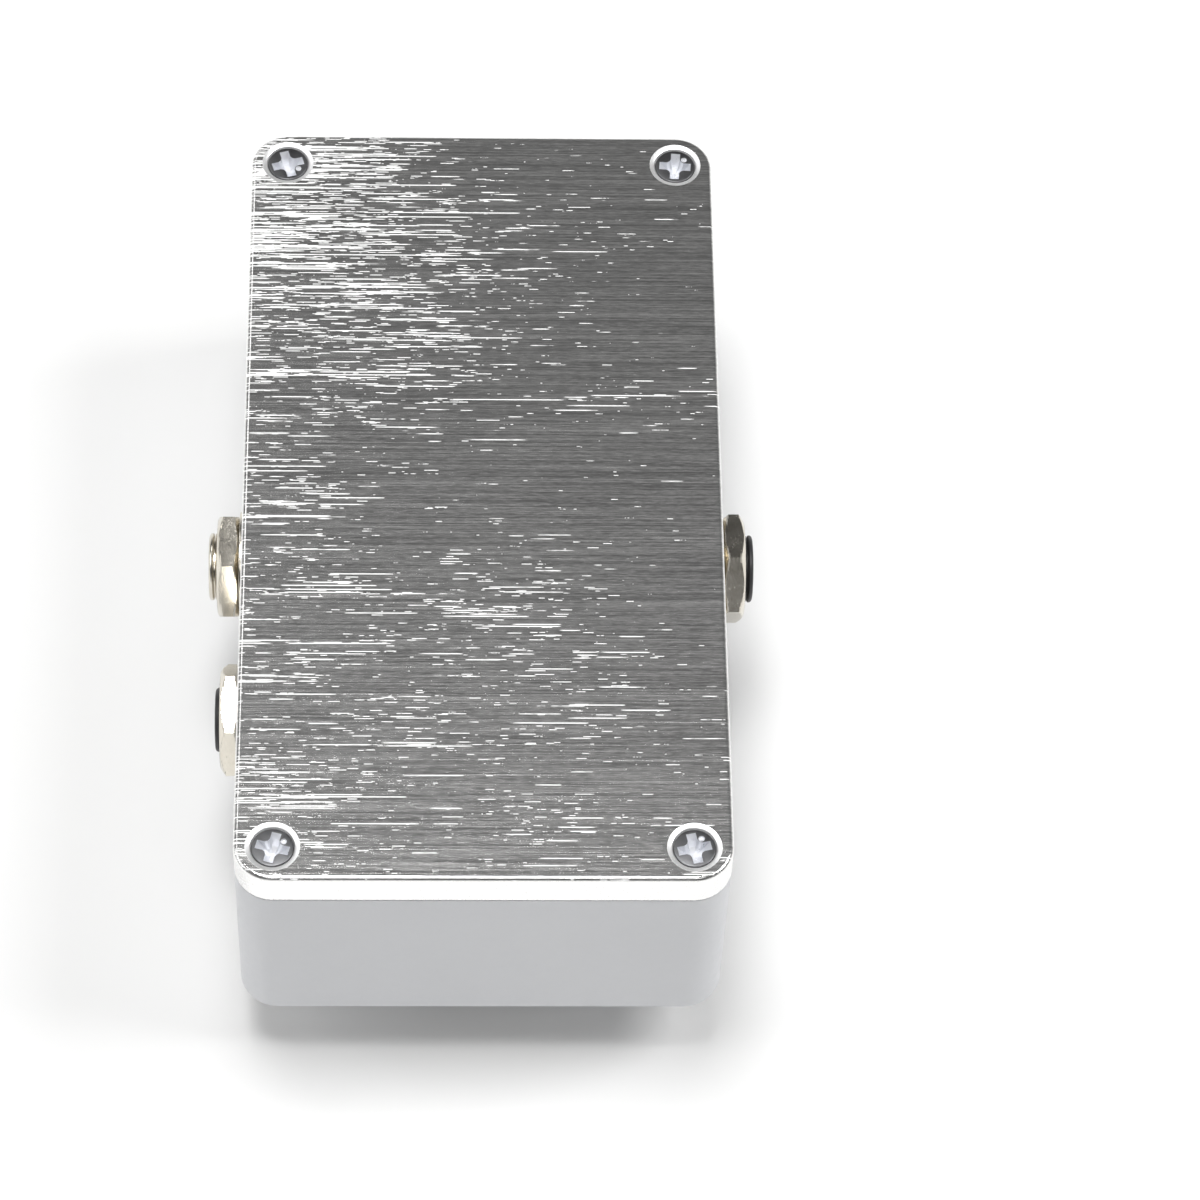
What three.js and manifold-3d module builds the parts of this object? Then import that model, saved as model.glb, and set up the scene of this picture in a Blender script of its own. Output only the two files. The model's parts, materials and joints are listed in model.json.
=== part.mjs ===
// A direct injection box: a die-cast case with a screwed base plate, two 1/4" jacks, a power
// socket, a male XLR output, two rotary controls, two toggle switches and a footswitch.
// It stands on its controls with the base plate up. +Z is up, +X is the thru jack's side,
// +Y is the XLR's end, and z = 0 is the surface it stands on. Millimetres throughout.

import * as THREE from "three";
import { mergeVertices } from "three/addons/utils/BufferGeometryUtils.js";
import Module from "manifold-3d";

const wasm = await Module();
wasm.setup();

// ---------------------------------------------------------------- driving dimensions

const STAND_HEIGHT = 12; // the control face stands this far above the surface
const CASE = { width: 66, length: 122, bodyHeight: 31.3, wall: 2.3, corner: 5.2, edge: 1.0 };
const LID = { height: 5.6, plate: 2.6, rim: 3.2, edge: 0.7, lipDepth: 1.8, lipWall: 1.6 };
const LID_SCREW = { x: 27.8, y: 56, headRadius: 3.1, shankRadius: 1.65, length: 17, sunk: 0.3 };
const BOSS_RADIUS = 4.6;

const GAP = 0.1; // between faces that are stacked on each other
const THREAD_GAP = 0.25; // round a threaded barrel, inside its hole or nut

const JACK = { y: 0, drop: 20, barrel: 4.7, bore: 3.3, proud: 5.2, depth: 27 };
const JACK_PLATE = { halfWidth: 7.5, below: 7.2, thickness: 1.2 };
const JACK_ARM = { halfWidth: 5, height: 7.2 };
const JACK_LEAF = { width: 4.6, thickness: 0.4, rivetDepth: 11.5, rivet: 1.1, lugDepth: 26.4 };
const JACK_STACK = { halfWidth: 4.2, front: -8, back: -15 };
const JACK_WASHER = { radius: 7.75, height: 0.8 };
const JACK_NUT = { flats: 14, height: 3.1 };
const DC = { y: -25, drop: 20, barrel: 4.5, bore: 2.85, proud: 3.7, depth: 13, socket: 6.3 };
const DC_BODY = { radius: 5.6, shoulder: 6.4, shoulderDepth: 4 };
const DC_PIN = { radius: 1.05, tip: 2.6, back: 13.6, lugEnd: 17, lugHalf: 1.2 };
const DC_NUT = { flats: 14, height: 2.9 };
// How far each hexagon has been turned as it was tightened, in degrees on its own panel.
const NUT_TURN = { input: -2, thru: -9, dc: -13, other: 0 };

const XLR = { z: 27.6, width: 31, height: 26, flange: 2, proud: 3.15, barrel: 11.8, socket: 8 };
const XLR_DEPTH = { socket: 9, barrel: 17, cups: 21 };
const XLR_COLLAR = { base: 10.8, tip: 9.9, insideRear: 10.2 };
const XLR_PINS = [[-3.6, 1.9], [3.6, 1.9], [0, -4]];
const XLR_PIN_RADIUS = 1.2;
const XLR_SCREWS = [[-12, 9.5], [12, -9.5]];
const XLR_SCREW = { shank: 1.45, head: 2.6, length: 9, hole: 1.75, countersink: 2.95 };

const POT = { x: 16, y: 26, can: 8.2, depth: 11, barrel: 3.5, proud: 4.2, shaft: 3 };
const POT_NUT = { flats: 10, height: 2 };
const POT_TAB = { halfWidth: 6.5, near: -7, far: -11.2, low: -4.9, high: -3.5 };
const POT_LEGS = [-5, 0, 5];
const KNOB = { base: 8, tip: 7.3, clear: 1.8, recess: 6.4, recessDepth: 3.6 };

const TOGGLE = { x: 16, y: 9.5, length: 12.6, width: 6.5, depth: 11.4, barrel: 3, proud: 4.4 };
const TOGGLE_NUT = { flats: 8, height: 2 };
const TOGGLE_LUGS = [-4.7, 0, 4.7];
const LEVER = { pivot: 0.8, ball: 1.7, stem: 1, tip: 1.45, length: 9, tilt: 13 };

const LIGHT = { y: 12, lens: 2.5, proud: 3.6, bezel: 4, barrel: 3.4, depth: 8 };

const FOOT = { y: -36, barrel: 5.9, bore: 5.1, proud: 8.3, plateDepth: 7, size: 16.8, depth: 16 };
const FOOT_WASHER = { radius: 9, height: 0.8 };
const FOOT_NUT = { flats: 16, height: 2.2 };
const FOOT_SHOULDER = 8;
const FOOT_COVER = 0.9;
const FOOT_LUGS = [-5, 0, 5];
const BUTTON = { radius: 4.9, bore: 3.4, tail: 2, boreEnd: 7, dome: 1.6 };
const SPRING = { radius: 2.5, wire: 0.32, turns: 6 };

const BOARD = { z: 25, thickness: 1.6, halfWidth: 27, nearY: 14, farY: 36.5, tabY: 8.5 };
const CHIP = { y: 25, halfWidth: 3.2, halfLength: 4.8, height: 3.3, pitch: 2.54, lead: 3.7 };
const CAPACITOR = { x: 12, y: 28, radius: 3.15, height: 11 };
const TRANSFORMER = { x: 18.4, y: -31, width: 19, depth: 7, height: 16, yoke: 2.8, leg: 2.2 };
const COIL = { width: 13, length: 15, corner: 2.5 };
const WIRE_RADIUS = 0.6;
const LEAD_GAP = 0.3; // between the board and the leads that stop at it

// ---------------------------------------------------------------- derived places

const BODY_TOP = STAND_HEIGHT + CASE.bodyHeight;
const LID_BOTTOM = BODY_TOP + GAP;
const LID_TOP = LID_BOTTOM + LID.height;
const HALF_WIDTH = CASE.width / 2;
const HALF_LENGTH = CASE.length / 2;
const INNER_FACE = STAND_HEIGHT + CASE.wall;
const BEHIND_WALL = -CASE.wall - GAP; // where an inner piece starts, on a panel's own axis
const JACK_Z = LID_TOP - JACK.drop;
const DC_Z = LID_TOP - DC.drop;
const CASE_Y = -XLR.proud / 2; // centres the whole object over the origin
const BOARD_TOP = BOARD.z + BOARD.thickness;
const WIRE_END_Z = BOARD_TOP + 0.6;

// ---------------------------------------------------------------- materials

function finish(color, roughness, metalness) {
  return new THREE.MeshStandardMaterial({ color, roughness, metalness });
}

const powderCoat = () => finish(0xd9dadd, 0.55, 0);
const brushedAluminium = () => finish(0x9c9b9b, 0.32, 1);
const zincSteel = () => finish(0x5c5e62, 0.4, 1);
const nickel = () => finish(0xc9c2b4, 0.22, 1);
const springSteel = () => finish(0xa9a79c, 0.35, 1);
const blackPlastic = () => finish(0x17181a, 0.45, 0);
const phenolic = () => finish(0x6b4327, 0.6, 0);
const contactMetal = () => finish(0xd8d3c4, 0.25, 1);
const knobPlastic = () => finish(0x1b1c1f, 0.35, 0);
const lensPlastic = () => finish(0xbfd7ff, 0.1, 0);
const boardResin = () => finish(0x1d5b35, 0.4, 0);
const sleevePlastic = () => finish(0x22305c, 0.35, 0);
const laminations = () => finish(0x6f7073, 0.5, 1);
const windingTape = () => finish(0xc79a34, 0.5, 0);
const wireJacket = () => finish(0xa12a22, 0.5, 0);

// ---------------------------------------------------------------- solid helpers

function toSolid(geometry) {
  const loose = geometry.index ? geometry.toNonIndexed() : geometry;
  const bare = new THREE.BufferGeometry();
  bare.setAttribute("position", loose.getAttribute("position"));
  const merged = mergeVertices(bare, 1e-4);
  const index = merged.index.array;
  const triVerts = [];
  for (let i = 0; i < index.length; i += 3) {
    const [a, b, c] = [index[i], index[i + 1], index[i + 2]];
    if (a !== b && b !== c && c !== a) triVerts.push(a, b, c);
  }
  const vertProperties = merged.attributes.position.array;
  const make = (order) =>
    new wasm.Manifold(
      new wasm.Mesh({ numProp: 3, vertProperties, triVerts: new Uint32Array(order) }),
    );
  const made = make(triVerts);
  return made.volume() < 0 ? make(triVerts.reverse()) : made;
}

function toGeometry(solid) {
  const mesh = solid.getMesh();
  const positions = new Float32Array(mesh.numVert * 3);
  for (let i = 0; i < mesh.numVert; i++) {
    const start = i * mesh.numProp;
    positions.set(mesh.vertProperties.subarray(start, start + 3), i * 3);
  }
  const geometry = new THREE.BufferGeometry();
  geometry.setAttribute("position", new THREE.BufferAttribute(positions, 3));
  geometry.setIndex(new THREE.BufferAttribute(mesh.triVerts, 1));
  geometry.computeVertexNormals();
  return geometry;
}

function named(name, solid, material) {
  const mesh = new THREE.Mesh(toGeometry(solid), material);
  mesh.name = name;
  return mesh;
}

// A box between two corners.
function box(low, high) {
  const size = high.map((value, i) => value - low[i]);
  const geometry = new THREE.BoxGeometry(...size);
  geometry.translate(...low.map((value, i) => value + size[i] / 2));
  return toSolid(geometry);
}

// A cylinder along +Z from bottom to top, at x, y.
function rod(radius, bottom, top, segments = 24, x = 0, y = 0) {
  const geometry = new THREE.CylinderGeometry(radius, radius, top - bottom, segments);
  geometry.rotateX(Math.PI / 2);
  geometry.translate(x, y, (bottom + top) / 2);
  return toSolid(geometry);
}

// A solid of revolution about Z. The profile holds [radius, height] points.
function turned(profile, segments = 24, x = 0, y = 0) {
  const points = profile.map(([radius, height]) => new THREE.Vector2(radius, height));
  const geometry = new THREE.LatheGeometry(points, segments);
  geometry.rotateX(Math.PI / 2);
  geometry.translate(x, y, 0);
  return toSolid(geometry);
}

function ring(inner, outer, bottom, top, segments = 24) {
  return turned(
    [[inner, bottom], [outer, bottom], [outer, top], [inner, top], [inner, bottom]],
    segments,
  );
}

// The outline of a rectangle with rounded corners, anticlockwise.
function roundedOutline(halfX, halfY, radius, steps) {
  const centres = [[1, 1], [-1, 1], [-1, -1], [1, -1]];
  return centres.flatMap(([sx, sy], corner) => {
    const points = [];
    for (let i = 0; i <= steps; i++) {
      const angle = (corner + i / steps) * (Math.PI / 2);
      const x = sx * (halfX - radius) + radius * Math.cos(angle);
      const y = sy * (halfY - radius) + radius * Math.sin(angle);
      points.push([x, y]);
    }
    return points;
  });
}

// A block with rounded upright corners, drawn through levels of [height, inset].
function roundedBlock(width, length, radius, levels, steps = 6) {
  const rings = levels.map(([height, inset]) =>
    roundedOutline(width / 2 - inset, length / 2 - inset, radius - inset, steps).map(
      ([x, y]) => [x, y, height],
    ),
  );
  const count = rings[0].length;
  const positions = rings.flat(2);
  const index = [];
  for (let level = 0; level + 1 < rings.length; level++) {
    for (let i = 0; i < count; i++) {
      const a = level * count + i;
      const b = level * count + ((i + 1) % count);
      index.push(a, b, b + count, a, b + count, a + count);
    }
  }
  const top = (rings.length - 1) * count;
  for (let i = 1; i + 1 < count; i++) {
    index.push(0, i + 1, i);
    index.push(top, top + i, top + i + 1);
  }
  const geometry = new THREE.BufferGeometry();
  geometry.setAttribute("position", new THREE.Float32BufferAttribute(positions, 3));
  geometry.setIndex(index);
  return toSolid(geometry);
}

// The levels of a quarter-round edge at the bottom or the top of a block.
function edgeLevels(height, radius, direction, steps = 3) {
  const levels = [];
  for (let i = 0; i <= steps; i++) {
    const angle = (i / steps) * (Math.PI / 2);
    const rise = radius * (1 - Math.cos(angle));
    const inset = radius * (1 - Math.sin(angle));
    levels.push([height + direction * rise, inset]);
  }
  return direction > 0 ? levels : levels.reverse();
}

// A hexagonal nut along +Z with chamfered corners, one of them at an angle of turn degrees.
function hexNut({ flats, height }, bore, bottom, turn = NUT_TURN.other) {
  const corner = flats / Math.sqrt(3);
  const bevel = 0.35;
  const top = bottom + height;
  const prism = rod(corner, bottom, top, 6).rotate([0, 0, turn - 30]);
  const rounding = turned([
    [0, bottom],
    [flats / 2, bottom],
    [corner, bottom + bevel],
    [corner, top - bevel],
    [flats / 2, top],
    [0, top],
  ], 12);
  return prism.intersect(rounding).subtract(rod(bore, bottom - 1, top + 1, 20));
}

// A flat strip bent along a path of [z, y] points. Its width runs along X.
function bentStrip(path, thickness, width) {
  const near = path.map(([z, y]) => new THREE.Vector2(z, y));
  const far = path.map(([z, y]) => new THREE.Vector2(z, y + thickness)).reverse();
  const shape = new THREE.Shape([...near, ...far]);
  const geometry = new THREE.ExtrudeGeometry(shape, { depth: width, bevelEnabled: false });
  geometry.rotateY(-Math.PI / 2);
  geometry.translate(width / 2, 0, 0);
  return toSolid(geometry);
}

// A round tube that follows a curve.
function tube(curve, radius, steps, sides = 8) {
  const section = new THREE.Shape();
  section.absarc(0, 0, radius, 0, Math.PI * 2);
  const points = section.getSpacedPoints(sides).slice(0, sides);
  const geometry = new THREE.ExtrudeGeometry(new THREE.Shape(points), {
    steps,
    extrudePath: curve,
  });
  return toSolid(geometry);
}

// A cross-shaped driver recess: wide and shallow wings with a deep centre.
function crossRecess(top, reach, wing, depth) {
  const half = wing / 2;
  const shallow = top - depth * 0.45;
  const core = reach * 0.5;
  const above = top + 1;
  return box([-reach, -half, shallow], [reach, half, above])
    .add(box([-half, -reach, shallow], [half, reach, above]))
    .add(box([-core, -half, top - depth], [core, half, above]))
    .add(box([-half, -core, top - depth], [half, core, above]));
}

// A group whose +Z points out of a panel and whose +Y points along up.
function facing(outward, up, position, meshes) {
  const z = new THREE.Vector3(...outward);
  const y = new THREE.Vector3(...up);
  const x = new THREE.Vector3().crossVectors(y, z);
  const group = new THREE.Group();
  group.quaternion.setFromRotationMatrix(new THREE.Matrix4().makeBasis(x, y, z));
  group.position.set(...position);
  group.add(...meshes);
  return group;
}

// A solid moved from a panel's own axis into the case's frame, for cutting the case.
function cutAt(solid, outward, up, position) {
  const group = facing(outward, up, position, [new THREE.Mesh(toGeometry(solid))]);
  group.updateMatrixWorld(true);
  return toSolid(group.children[0].geometry.clone().applyMatrix4(group.children[0].matrixWorld));
}

const LEFT = [-1, 0, 0];
const RIGHT = [1, 0, 0];
const FAR = [0, 1, 0];
const UP = [0, 0, 1];
const DOWN = [0, 0, -1];

// ---------------------------------------------------------------- case and base plate

const CORNERS = [
  ["near_left", -1, -1],
  ["near_right", 1, -1],
  ["far_left", -1, 1],
  ["far_right", 1, 1],
];

function panelHole(radius, outward, up, position, segments = 20) {
  return cutAt(rod(radius, -CASE.wall - 3, 3, segments), outward, up, position);
}

function controlFaceHoles() {
  const at = (x, y) => [x, y, STAND_HEIGHT];
  const holes = [
    [FOOT.barrel, at(0, FOOT.y)],
    [LIGHT.barrel, at(0, LIGHT.y)],
  ];
  for (const side of [-1, 1]) {
    holes.push([POT.barrel, at(side * POT.x, POT.y)]);
    holes.push([TOGGLE.barrel, at(side * TOGGLE.x, TOGGLE.y)]);
  }
  return holes.map(([radius, place]) => panelHole(radius + THREAD_GAP, DOWN, FAR, place));
}

function enclosureBody() {
  const { width, length, wall, corner, edge } = CASE;
  let body = roundedBlock(width, length, corner, [
    ...edgeLevels(STAND_HEIGHT, edge, 1, 2),
    [BODY_TOP, 0],
  ]);
  const cavity = roundedBlock(width - 2 * wall, length - 2 * wall, corner - wall, [
    [INNER_FACE, 0],
    [BODY_TOP + 1, 0],
  ], 3);
  body = body.subtract(cavity);
  for (const [, sx, sy] of CORNERS) {
    const [x, y] = [sx * LID_SCREW.x, sy * LID_SCREW.y];
    body = body.add(rod(BOSS_RADIUS, STAND_HEIGHT + 1, BODY_TOP, 16, x, y));
  }
  for (const [, sx, sy] of CORNERS) {
    const [x, y] = [sx * LID_SCREW.x, sy * LID_SCREW.y];
    const pilot = LID_SCREW.shankRadius + THREAD_GAP;
    body = body.subtract(rod(pilot, LID_TOP - LID_SCREW.length - 2, BODY_TOP + 1, 12, x, y));
  }
  const jackHole = JACK.barrel + THREAD_GAP;
  const farWall = [0, HALF_LENGTH, XLR.z];
  const holes = [
    ...controlFaceHoles(),
    panelHole(jackHole, LEFT, UP, [-HALF_WIDTH, JACK.y, JACK_Z]),
    panelHole(jackHole, RIGHT, UP, [HALF_WIDTH, JACK.y, JACK_Z]),
    panelHole(DC.barrel + THREAD_GAP, LEFT, UP, [-HALF_WIDTH, DC.y, DC_Z]),
    panelHole(XLR.barrel + 0.3, FAR, UP, farWall, 32),
  ];
  for (const [x, y] of XLR_SCREWS) {
    const screwHole = rod(XLR_SCREW.hole, -CASE.wall - 3, 3, 12, x, y);
    holes.push(cutAt(screwHole, FAR, UP, farWall));
  }
  return holes.reduce((solid, hole) => solid.subtract(hole), body);
}

function countersunkHole(x, y) {
  const head = LID_SCREW.headRadius;
  const shank = LID_SCREW.shankRadius + 0.3;
  const mouth = head + 0.3;
  const seat = LID_TOP - LID_SCREW.sunk;
  return turned(
    [
      [0, LID_BOTTOM - 3],
      [shank, LID_BOTTOM - 3],
      [shank, seat - mouth + shank],
      [mouth, seat],
      [mouth + 0.2, LID_TOP],
      [mouth + 0.2, LID_TOP + 1],
      [0, LID_TOP + 1],
    ],
    20,
    x,
    y,
  );
}

function basePlate() {
  const { width, length, wall, corner } = CASE;
  let plate = roundedBlock(width, length, corner, [
    [LID_BOTTOM, 0],
    ...edgeLevels(LID_TOP, LID.edge, -1, 2),
  ]);
  const inset = (amount, bottom, top) =>
    roundedBlock(width - 2 * amount, length - 2 * amount, Math.max(corner - amount, 0.8), [
      [bottom, 0],
      [top, 0],
    ], 3);
  const underside = LID_TOP - LID.plate;
  plate = plate.subtract(inset(LID.rim, LID_BOTTOM - 1, underside));
  const lipOuter = wall + 0.3;
  const lipBottom = LID_BOTTOM - LID.lipDepth;
  let lip = inset(lipOuter, lipBottom, underside + 1);
  lip = lip.subtract(inset(lipOuter + LID.lipWall, lipBottom - 1, underside + 2));
  for (const [, sx, sy] of CORNERS) {
    const [x, y] = [sx * LID_SCREW.x, sy * LID_SCREW.y];
    lip = lip.subtract(rod(BOSS_RADIUS + 0.4, lipBottom - 1, LID_BOTTOM, 16, x, y));
  }
  plate = plate.add(lip);
  for (const [, sx, sy] of CORNERS) {
    const [x, y] = [sx * LID_SCREW.x, sy * LID_SCREW.y];
    plate = plate.add(rod(BOSS_RADIUS, LID_BOTTOM, underside + 1, 16, x, y));
    plate = plate.subtract(countersunkHole(x, y));
  }
  return plate;
}

function lidScrew() {
  const { headRadius, shankRadius, length, sunk } = LID_SCREW;
  const top = LID_TOP - sunk;
  const coneEnd = top - (headRadius - shankRadius) - 0.15;
  const shape = turned([
    [0, top - length],
    [shankRadius - 0.5, top - length],
    [shankRadius, top - length + 1],
    [shankRadius, coneEnd],
    [headRadius, top - 0.15],
    [headRadius - 0.1, top],
    [0, top],
  ], 16);
  return shape.subtract(crossRecess(top, 2.1, 0.9, 1.8));
}

// ---------------------------------------------------------------- 1/4" jacks

// The frame's plate sits behind the wall. Its arm runs back above the plug's path.
function jackFrame() {
  const { halfWidth, below, thickness } = JACK_PLATE;
  const arm = JACK_ARM;
  const plateBack = BEHIND_WALL - thickness;
  const top = arm.height + thickness;
  const plate = box([-halfWidth, -below, plateBack], [halfWidth, top, BEHIND_WALL]);
  const back = box([-arm.halfWidth, arm.height, -JACK.depth], [arm.halfWidth, top, BEHIND_WALL]);
  const barrel = turned([
    [0, plateBack],
    [JACK.barrel, plateBack],
    [JACK.barrel, JACK.proud - 0.5],
    [JACK.barrel - 0.4, JACK.proud],
    [0, JACK.proud],
  ]);
  const bore = rod(JACK.bore, plateBack - 1, JACK.proud + 1);
  return plate.add(back).add(barrel).subtract(bore);
}

// A leaf that bends down to meet the tip of a plug, then rises into its solder lug.
function jackTipSpring() {
  const { width, thickness, rivetDepth, rivet, lugDepth } = JACK_LEAF;
  const path = [[-7.5, 5.2], [-18.5, 5.2], [-22, 3.6], [-24.5, 5.2], [-27.5, 5.8]];
  const acrossLeaf = (radius, segments, depth) =>
    rod(radius, 0, 8, segments).rotate([-90, 0, 0]).translate([0, 0, -depth]);
  return bentStrip(path, thickness, width)
    .subtract(acrossLeaf(rivet + THREAD_GAP, 12, rivetDepth))
    .subtract(acrossLeaf(WIRE_RADIUS, 8, lugDepth));
}

// Two fibre layers that clamp the leaf, joined by the rivet through it.
function jackInsulator() {
  const { halfWidth, front, back } = JACK_STACK;
  const layer = (low, high) => box([-halfWidth, low, back], [halfWidth, high, front]);
  const rivet = rod(JACK_LEAF.rivet, 4, 7, 12)
    .rotate([-90, 0, 0])
    .translate([0, 0, -JACK_LEAF.rivetDepth]);
  return layer(5.8, JACK_ARM.height - GAP).add(layer(3.8, 5)).add(rivet);
}

function jackMeshes(prefix, frameFinish, turn) {
  const hole = JACK.barrel + THREAD_GAP;
  const washerTop = GAP + JACK_WASHER.height;
  return [
    named(prefix + "_frame", jackFrame(), frameFinish),
    named(prefix + "_washer", ring(hole, JACK_WASHER.radius, GAP, washerTop), nickel()),
    named(prefix + "_nut", hexNut(JACK_NUT, hole, washerTop, turn), nickel()),
    named(prefix + "_tip_spring", jackTipSpring(), springSteel()),
    named(prefix + "_insulator", jackInsulator(), phenolic()),
  ];
}

// The input jack has a plated metal frame.
function inputJackMeshes() {
  return jackMeshes("input_jack", nickel(), NUT_TURN.input);
}

// The thru jack has a moulded frame.
function thruJackMeshes() {
  return jackMeshes("thru_jack", blackPlastic(), NUT_TURN.thru);
}

// ---------------------------------------------------------------- power socket

function dcHousing() {
  const shape = turned([
    [0, -DC.depth],
    [DC_BODY.radius, -DC.depth],
    [DC_BODY.radius, -DC_BODY.shoulderDepth],
    [DC_BODY.shoulder, -DC_BODY.shoulderDepth],
    [DC_BODY.shoulder, BEHIND_WALL],
    [DC.barrel, BEHIND_WALL],
    [DC.barrel, DC.proud - 0.3],
    [DC.barrel - 0.3, DC.proud],
    [0, DC.proud],
  ]);
  const socket = rod(DC.bore, -DC.socket, DC.proud + 1, 20);
  const pinHole = rod(DC_PIN.radius + THREAD_GAP, -DC.depth - 1, -DC.socket + 1, 12);
  const contactSlot = box([3.6, -1.45, -DC.depth - 1], [4.5, 1.45, -7]);
  return shape.subtract(socket).subtract(pinHole).subtract(contactSlot);
}

function dcCentrePin() {
  const { radius, tip, back, lugEnd, lugHalf } = DC_PIN;
  const pin = turned([
    [0, -back],
    [radius, -back],
    [radius, tip - 0.6],
    [0.6, tip],
    [0, tip],
  ], 12);
  const lug = box([-lugHalf, -0.3, -lugEnd], [lugHalf, 0.3, -back + GAP]);
  return pin.add(lug);
}

function dcMeshes() {
  const hole = DC.barrel + THREAD_GAP;
  const contact = box([3.85, -DC_PIN.lugHalf, -DC_PIN.lugEnd], [4.25, DC_PIN.lugHalf, -7.3]);
  return [
    named("dc_jack_housing", dcHousing(), blackPlastic()),
    named("dc_jack_nut", hexNut(DC_NUT, hole, GAP, NUT_TURN.dc), nickel()),
    named("dc_jack_centre_pin", dcCentrePin(), contactMetal()),
    named("dc_jack_sleeve_contact", contact, contactMetal()),
  ];
}

// ---------------------------------------------------------------- XLR output

function flangeCountersink(x, y) {
  const { hole, countersink } = XLR_SCREW;
  const profile = [
    [0, -1],
    [hole, -1],
    [hole, XLR.flange - countersink + hole],
    [countersink, XLR.flange],
    [countersink, XLR.flange + 2],
    [0, XLR.flange + 2],
  ];
  return turned(profile, 16, x, y);
}

function xlrShell() {
  const flange = roundedBlock(XLR.width, XLR.height, 3, [
    [GAP, 0],
    ...edgeLevels(XLR.flange, 0.5, -1, 2),
  ], 4);
  const barrel = rod(XLR.barrel, -XLR_DEPTH.barrel, 1, 32);
  const collar = turned([
    [0, 1],
    [XLR_COLLAR.base, 1],
    [XLR_COLLAR.base, XLR.flange + 0.3],
    [XLR_COLLAR.tip, XLR.proud],
    [0, XLR.proud],
  ], 32);
  const socket = turned([
    [0, -XLR_DEPTH.socket],
    [XLR.socket, -XLR_DEPTH.socket],
    [XLR.socket, XLR.proud - 0.8],
    [XLR.socket + 0.8, XLR.proud],
    [XLR.socket + 0.8, XLR.proud + 1],
    [0, XLR.proud + 1],
  ], 32);
  const rear = rod(XLR_COLLAR.insideRear, -XLR_DEPTH.barrel - 1, -XLR_DEPTH.socket, 32);
  let shell = flange.add(barrel).add(collar).subtract(socket).subtract(rear);
  for (const [x, y] of XLR_SCREWS) shell = shell.subtract(flangeCountersink(x, y));
  return shell;
}

function xlrInsulator() {
  const back = -XLR_DEPTH.barrel + 0.5;
  const front = -XLR_DEPTH.socket - 0.2;
  let disc = rod(XLR_COLLAR.insideRear - 0.3, back, front, 32);
  for (const [x, y] of XLR_PINS) {
    disc = disc.subtract(rod(XLR_PIN_RADIUS + 0.2, back - 1, front + 1, 12, x, y));
  }
  return disc;
}

function xlrPin([x, y]) {
  const cupEnd = -XLR_DEPTH.cups;
  const shape = turned([
    [0, cupEnd],
    [XLR_PIN_RADIUS, cupEnd],
    [XLR_PIN_RADIUS, 0.4],
    [0.7, 1],
    [0, 1],
  ], 12, x, y);
  const cup = rod(0.75, cupEnd - 1, cupEnd + 3, 8, x, y);
  return shape.subtract(cup);
}

function xlrScrew([x, y]) {
  const { shank, head, length } = XLR_SCREW;
  const top = XLR.flange - GAP;
  const shape = turned([
    [0, XLR.flange - length],
    [shank, XLR.flange - length],
    [shank, top - head + shank],
    [head, top],
    [0, top],
  ], 16);
  return shape.subtract(crossRecess(top, 1.5, 0.7, 1.2)).translate([x, y, 0]);
}

function xlrMeshes() {
  return [
    named("xlr_shell", xlrShell(), nickel()),
    named("xlr_insulator", xlrInsulator(), blackPlastic()),
    ...XLR_PINS.map((place, i) => named("xlr_pin_" + (i + 1), xlrPin(place), contactMetal())),
    named("xlr_screw_upper", xlrScrew(XLR_SCREWS[0]), zincSteel()),
    named("xlr_screw_lower", xlrScrew(XLR_SCREWS[1]), zincSteel()),
  ];
}

// ---------------------------------------------------------------- rotary controls

function potBody() {
  const shape = turned([
    [0, -POT.depth],
    [POT.can - 0.6, -POT.depth],
    [POT.can, -POT.depth + 0.6],
    [POT.can, BEHIND_WALL],
    [POT.barrel, BEHIND_WALL],
    [POT.barrel, POT.proud],
    [0, POT.proud],
  ]);
  const { halfWidth, near, far, low, high } = POT_TAB;
  let body = shape.add(box([-halfWidth, far, low], [halfWidth, near, high]));
  const legEnd = STAND_HEIGHT - BOARD.z + LEAD_GAP;
  for (const x of POT_LEGS) {
    body = body.add(box([x - 0.45, far + 0.3, legEnd], [x + 0.45, far + 0.8, -4]));
  }
  return body.subtract(rod(POT.shaft + 0.1, -8, POT.proud + 1, 32));
}

function knob() {
  const back = KNOB.clear;
  const front = STAND_HEIGHT;
  const recessEnd = back + KNOB.recessDepth;
  const shape = turned([
    [0, back],
    [KNOB.base, back],
    [KNOB.base, back + 1.4],
    [KNOB.tip, front - 0.7],
    [KNOB.tip - 0.7, front],
    [0, front],
  ], 32);
  const recess = rod(KNOB.recess, back - 1, recessEnd, 24);
  const shaftHole = rod(POT.shaft + 0.12, recessEnd - 1, front - 1.2, 24);
  const pointer = box([-0.4, KNOB.tip - 3.5, front - 0.5], [0.4, KNOB.base + 1, front + 1]);
  return shape.subtract(recess).subtract(shaftHole).subtract(pointer);
}

function controlMeshes(prefix) {
  const nut = hexNut(POT_NUT, POT.barrel + THREAD_GAP, GAP);
  return [
    named(prefix + "_pot_body", potBody(), nickel()),
    named(prefix + "_pot_shaft", rod(POT.shaft, -7.7, 10.5, 20), springSteel()),
    named(prefix + "_pot_nut", nut, nickel()),
    named(prefix + "_knob", knob(), knobPlastic()),
  ];
}

// ---------------------------------------------------------------- toggle switches

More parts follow.
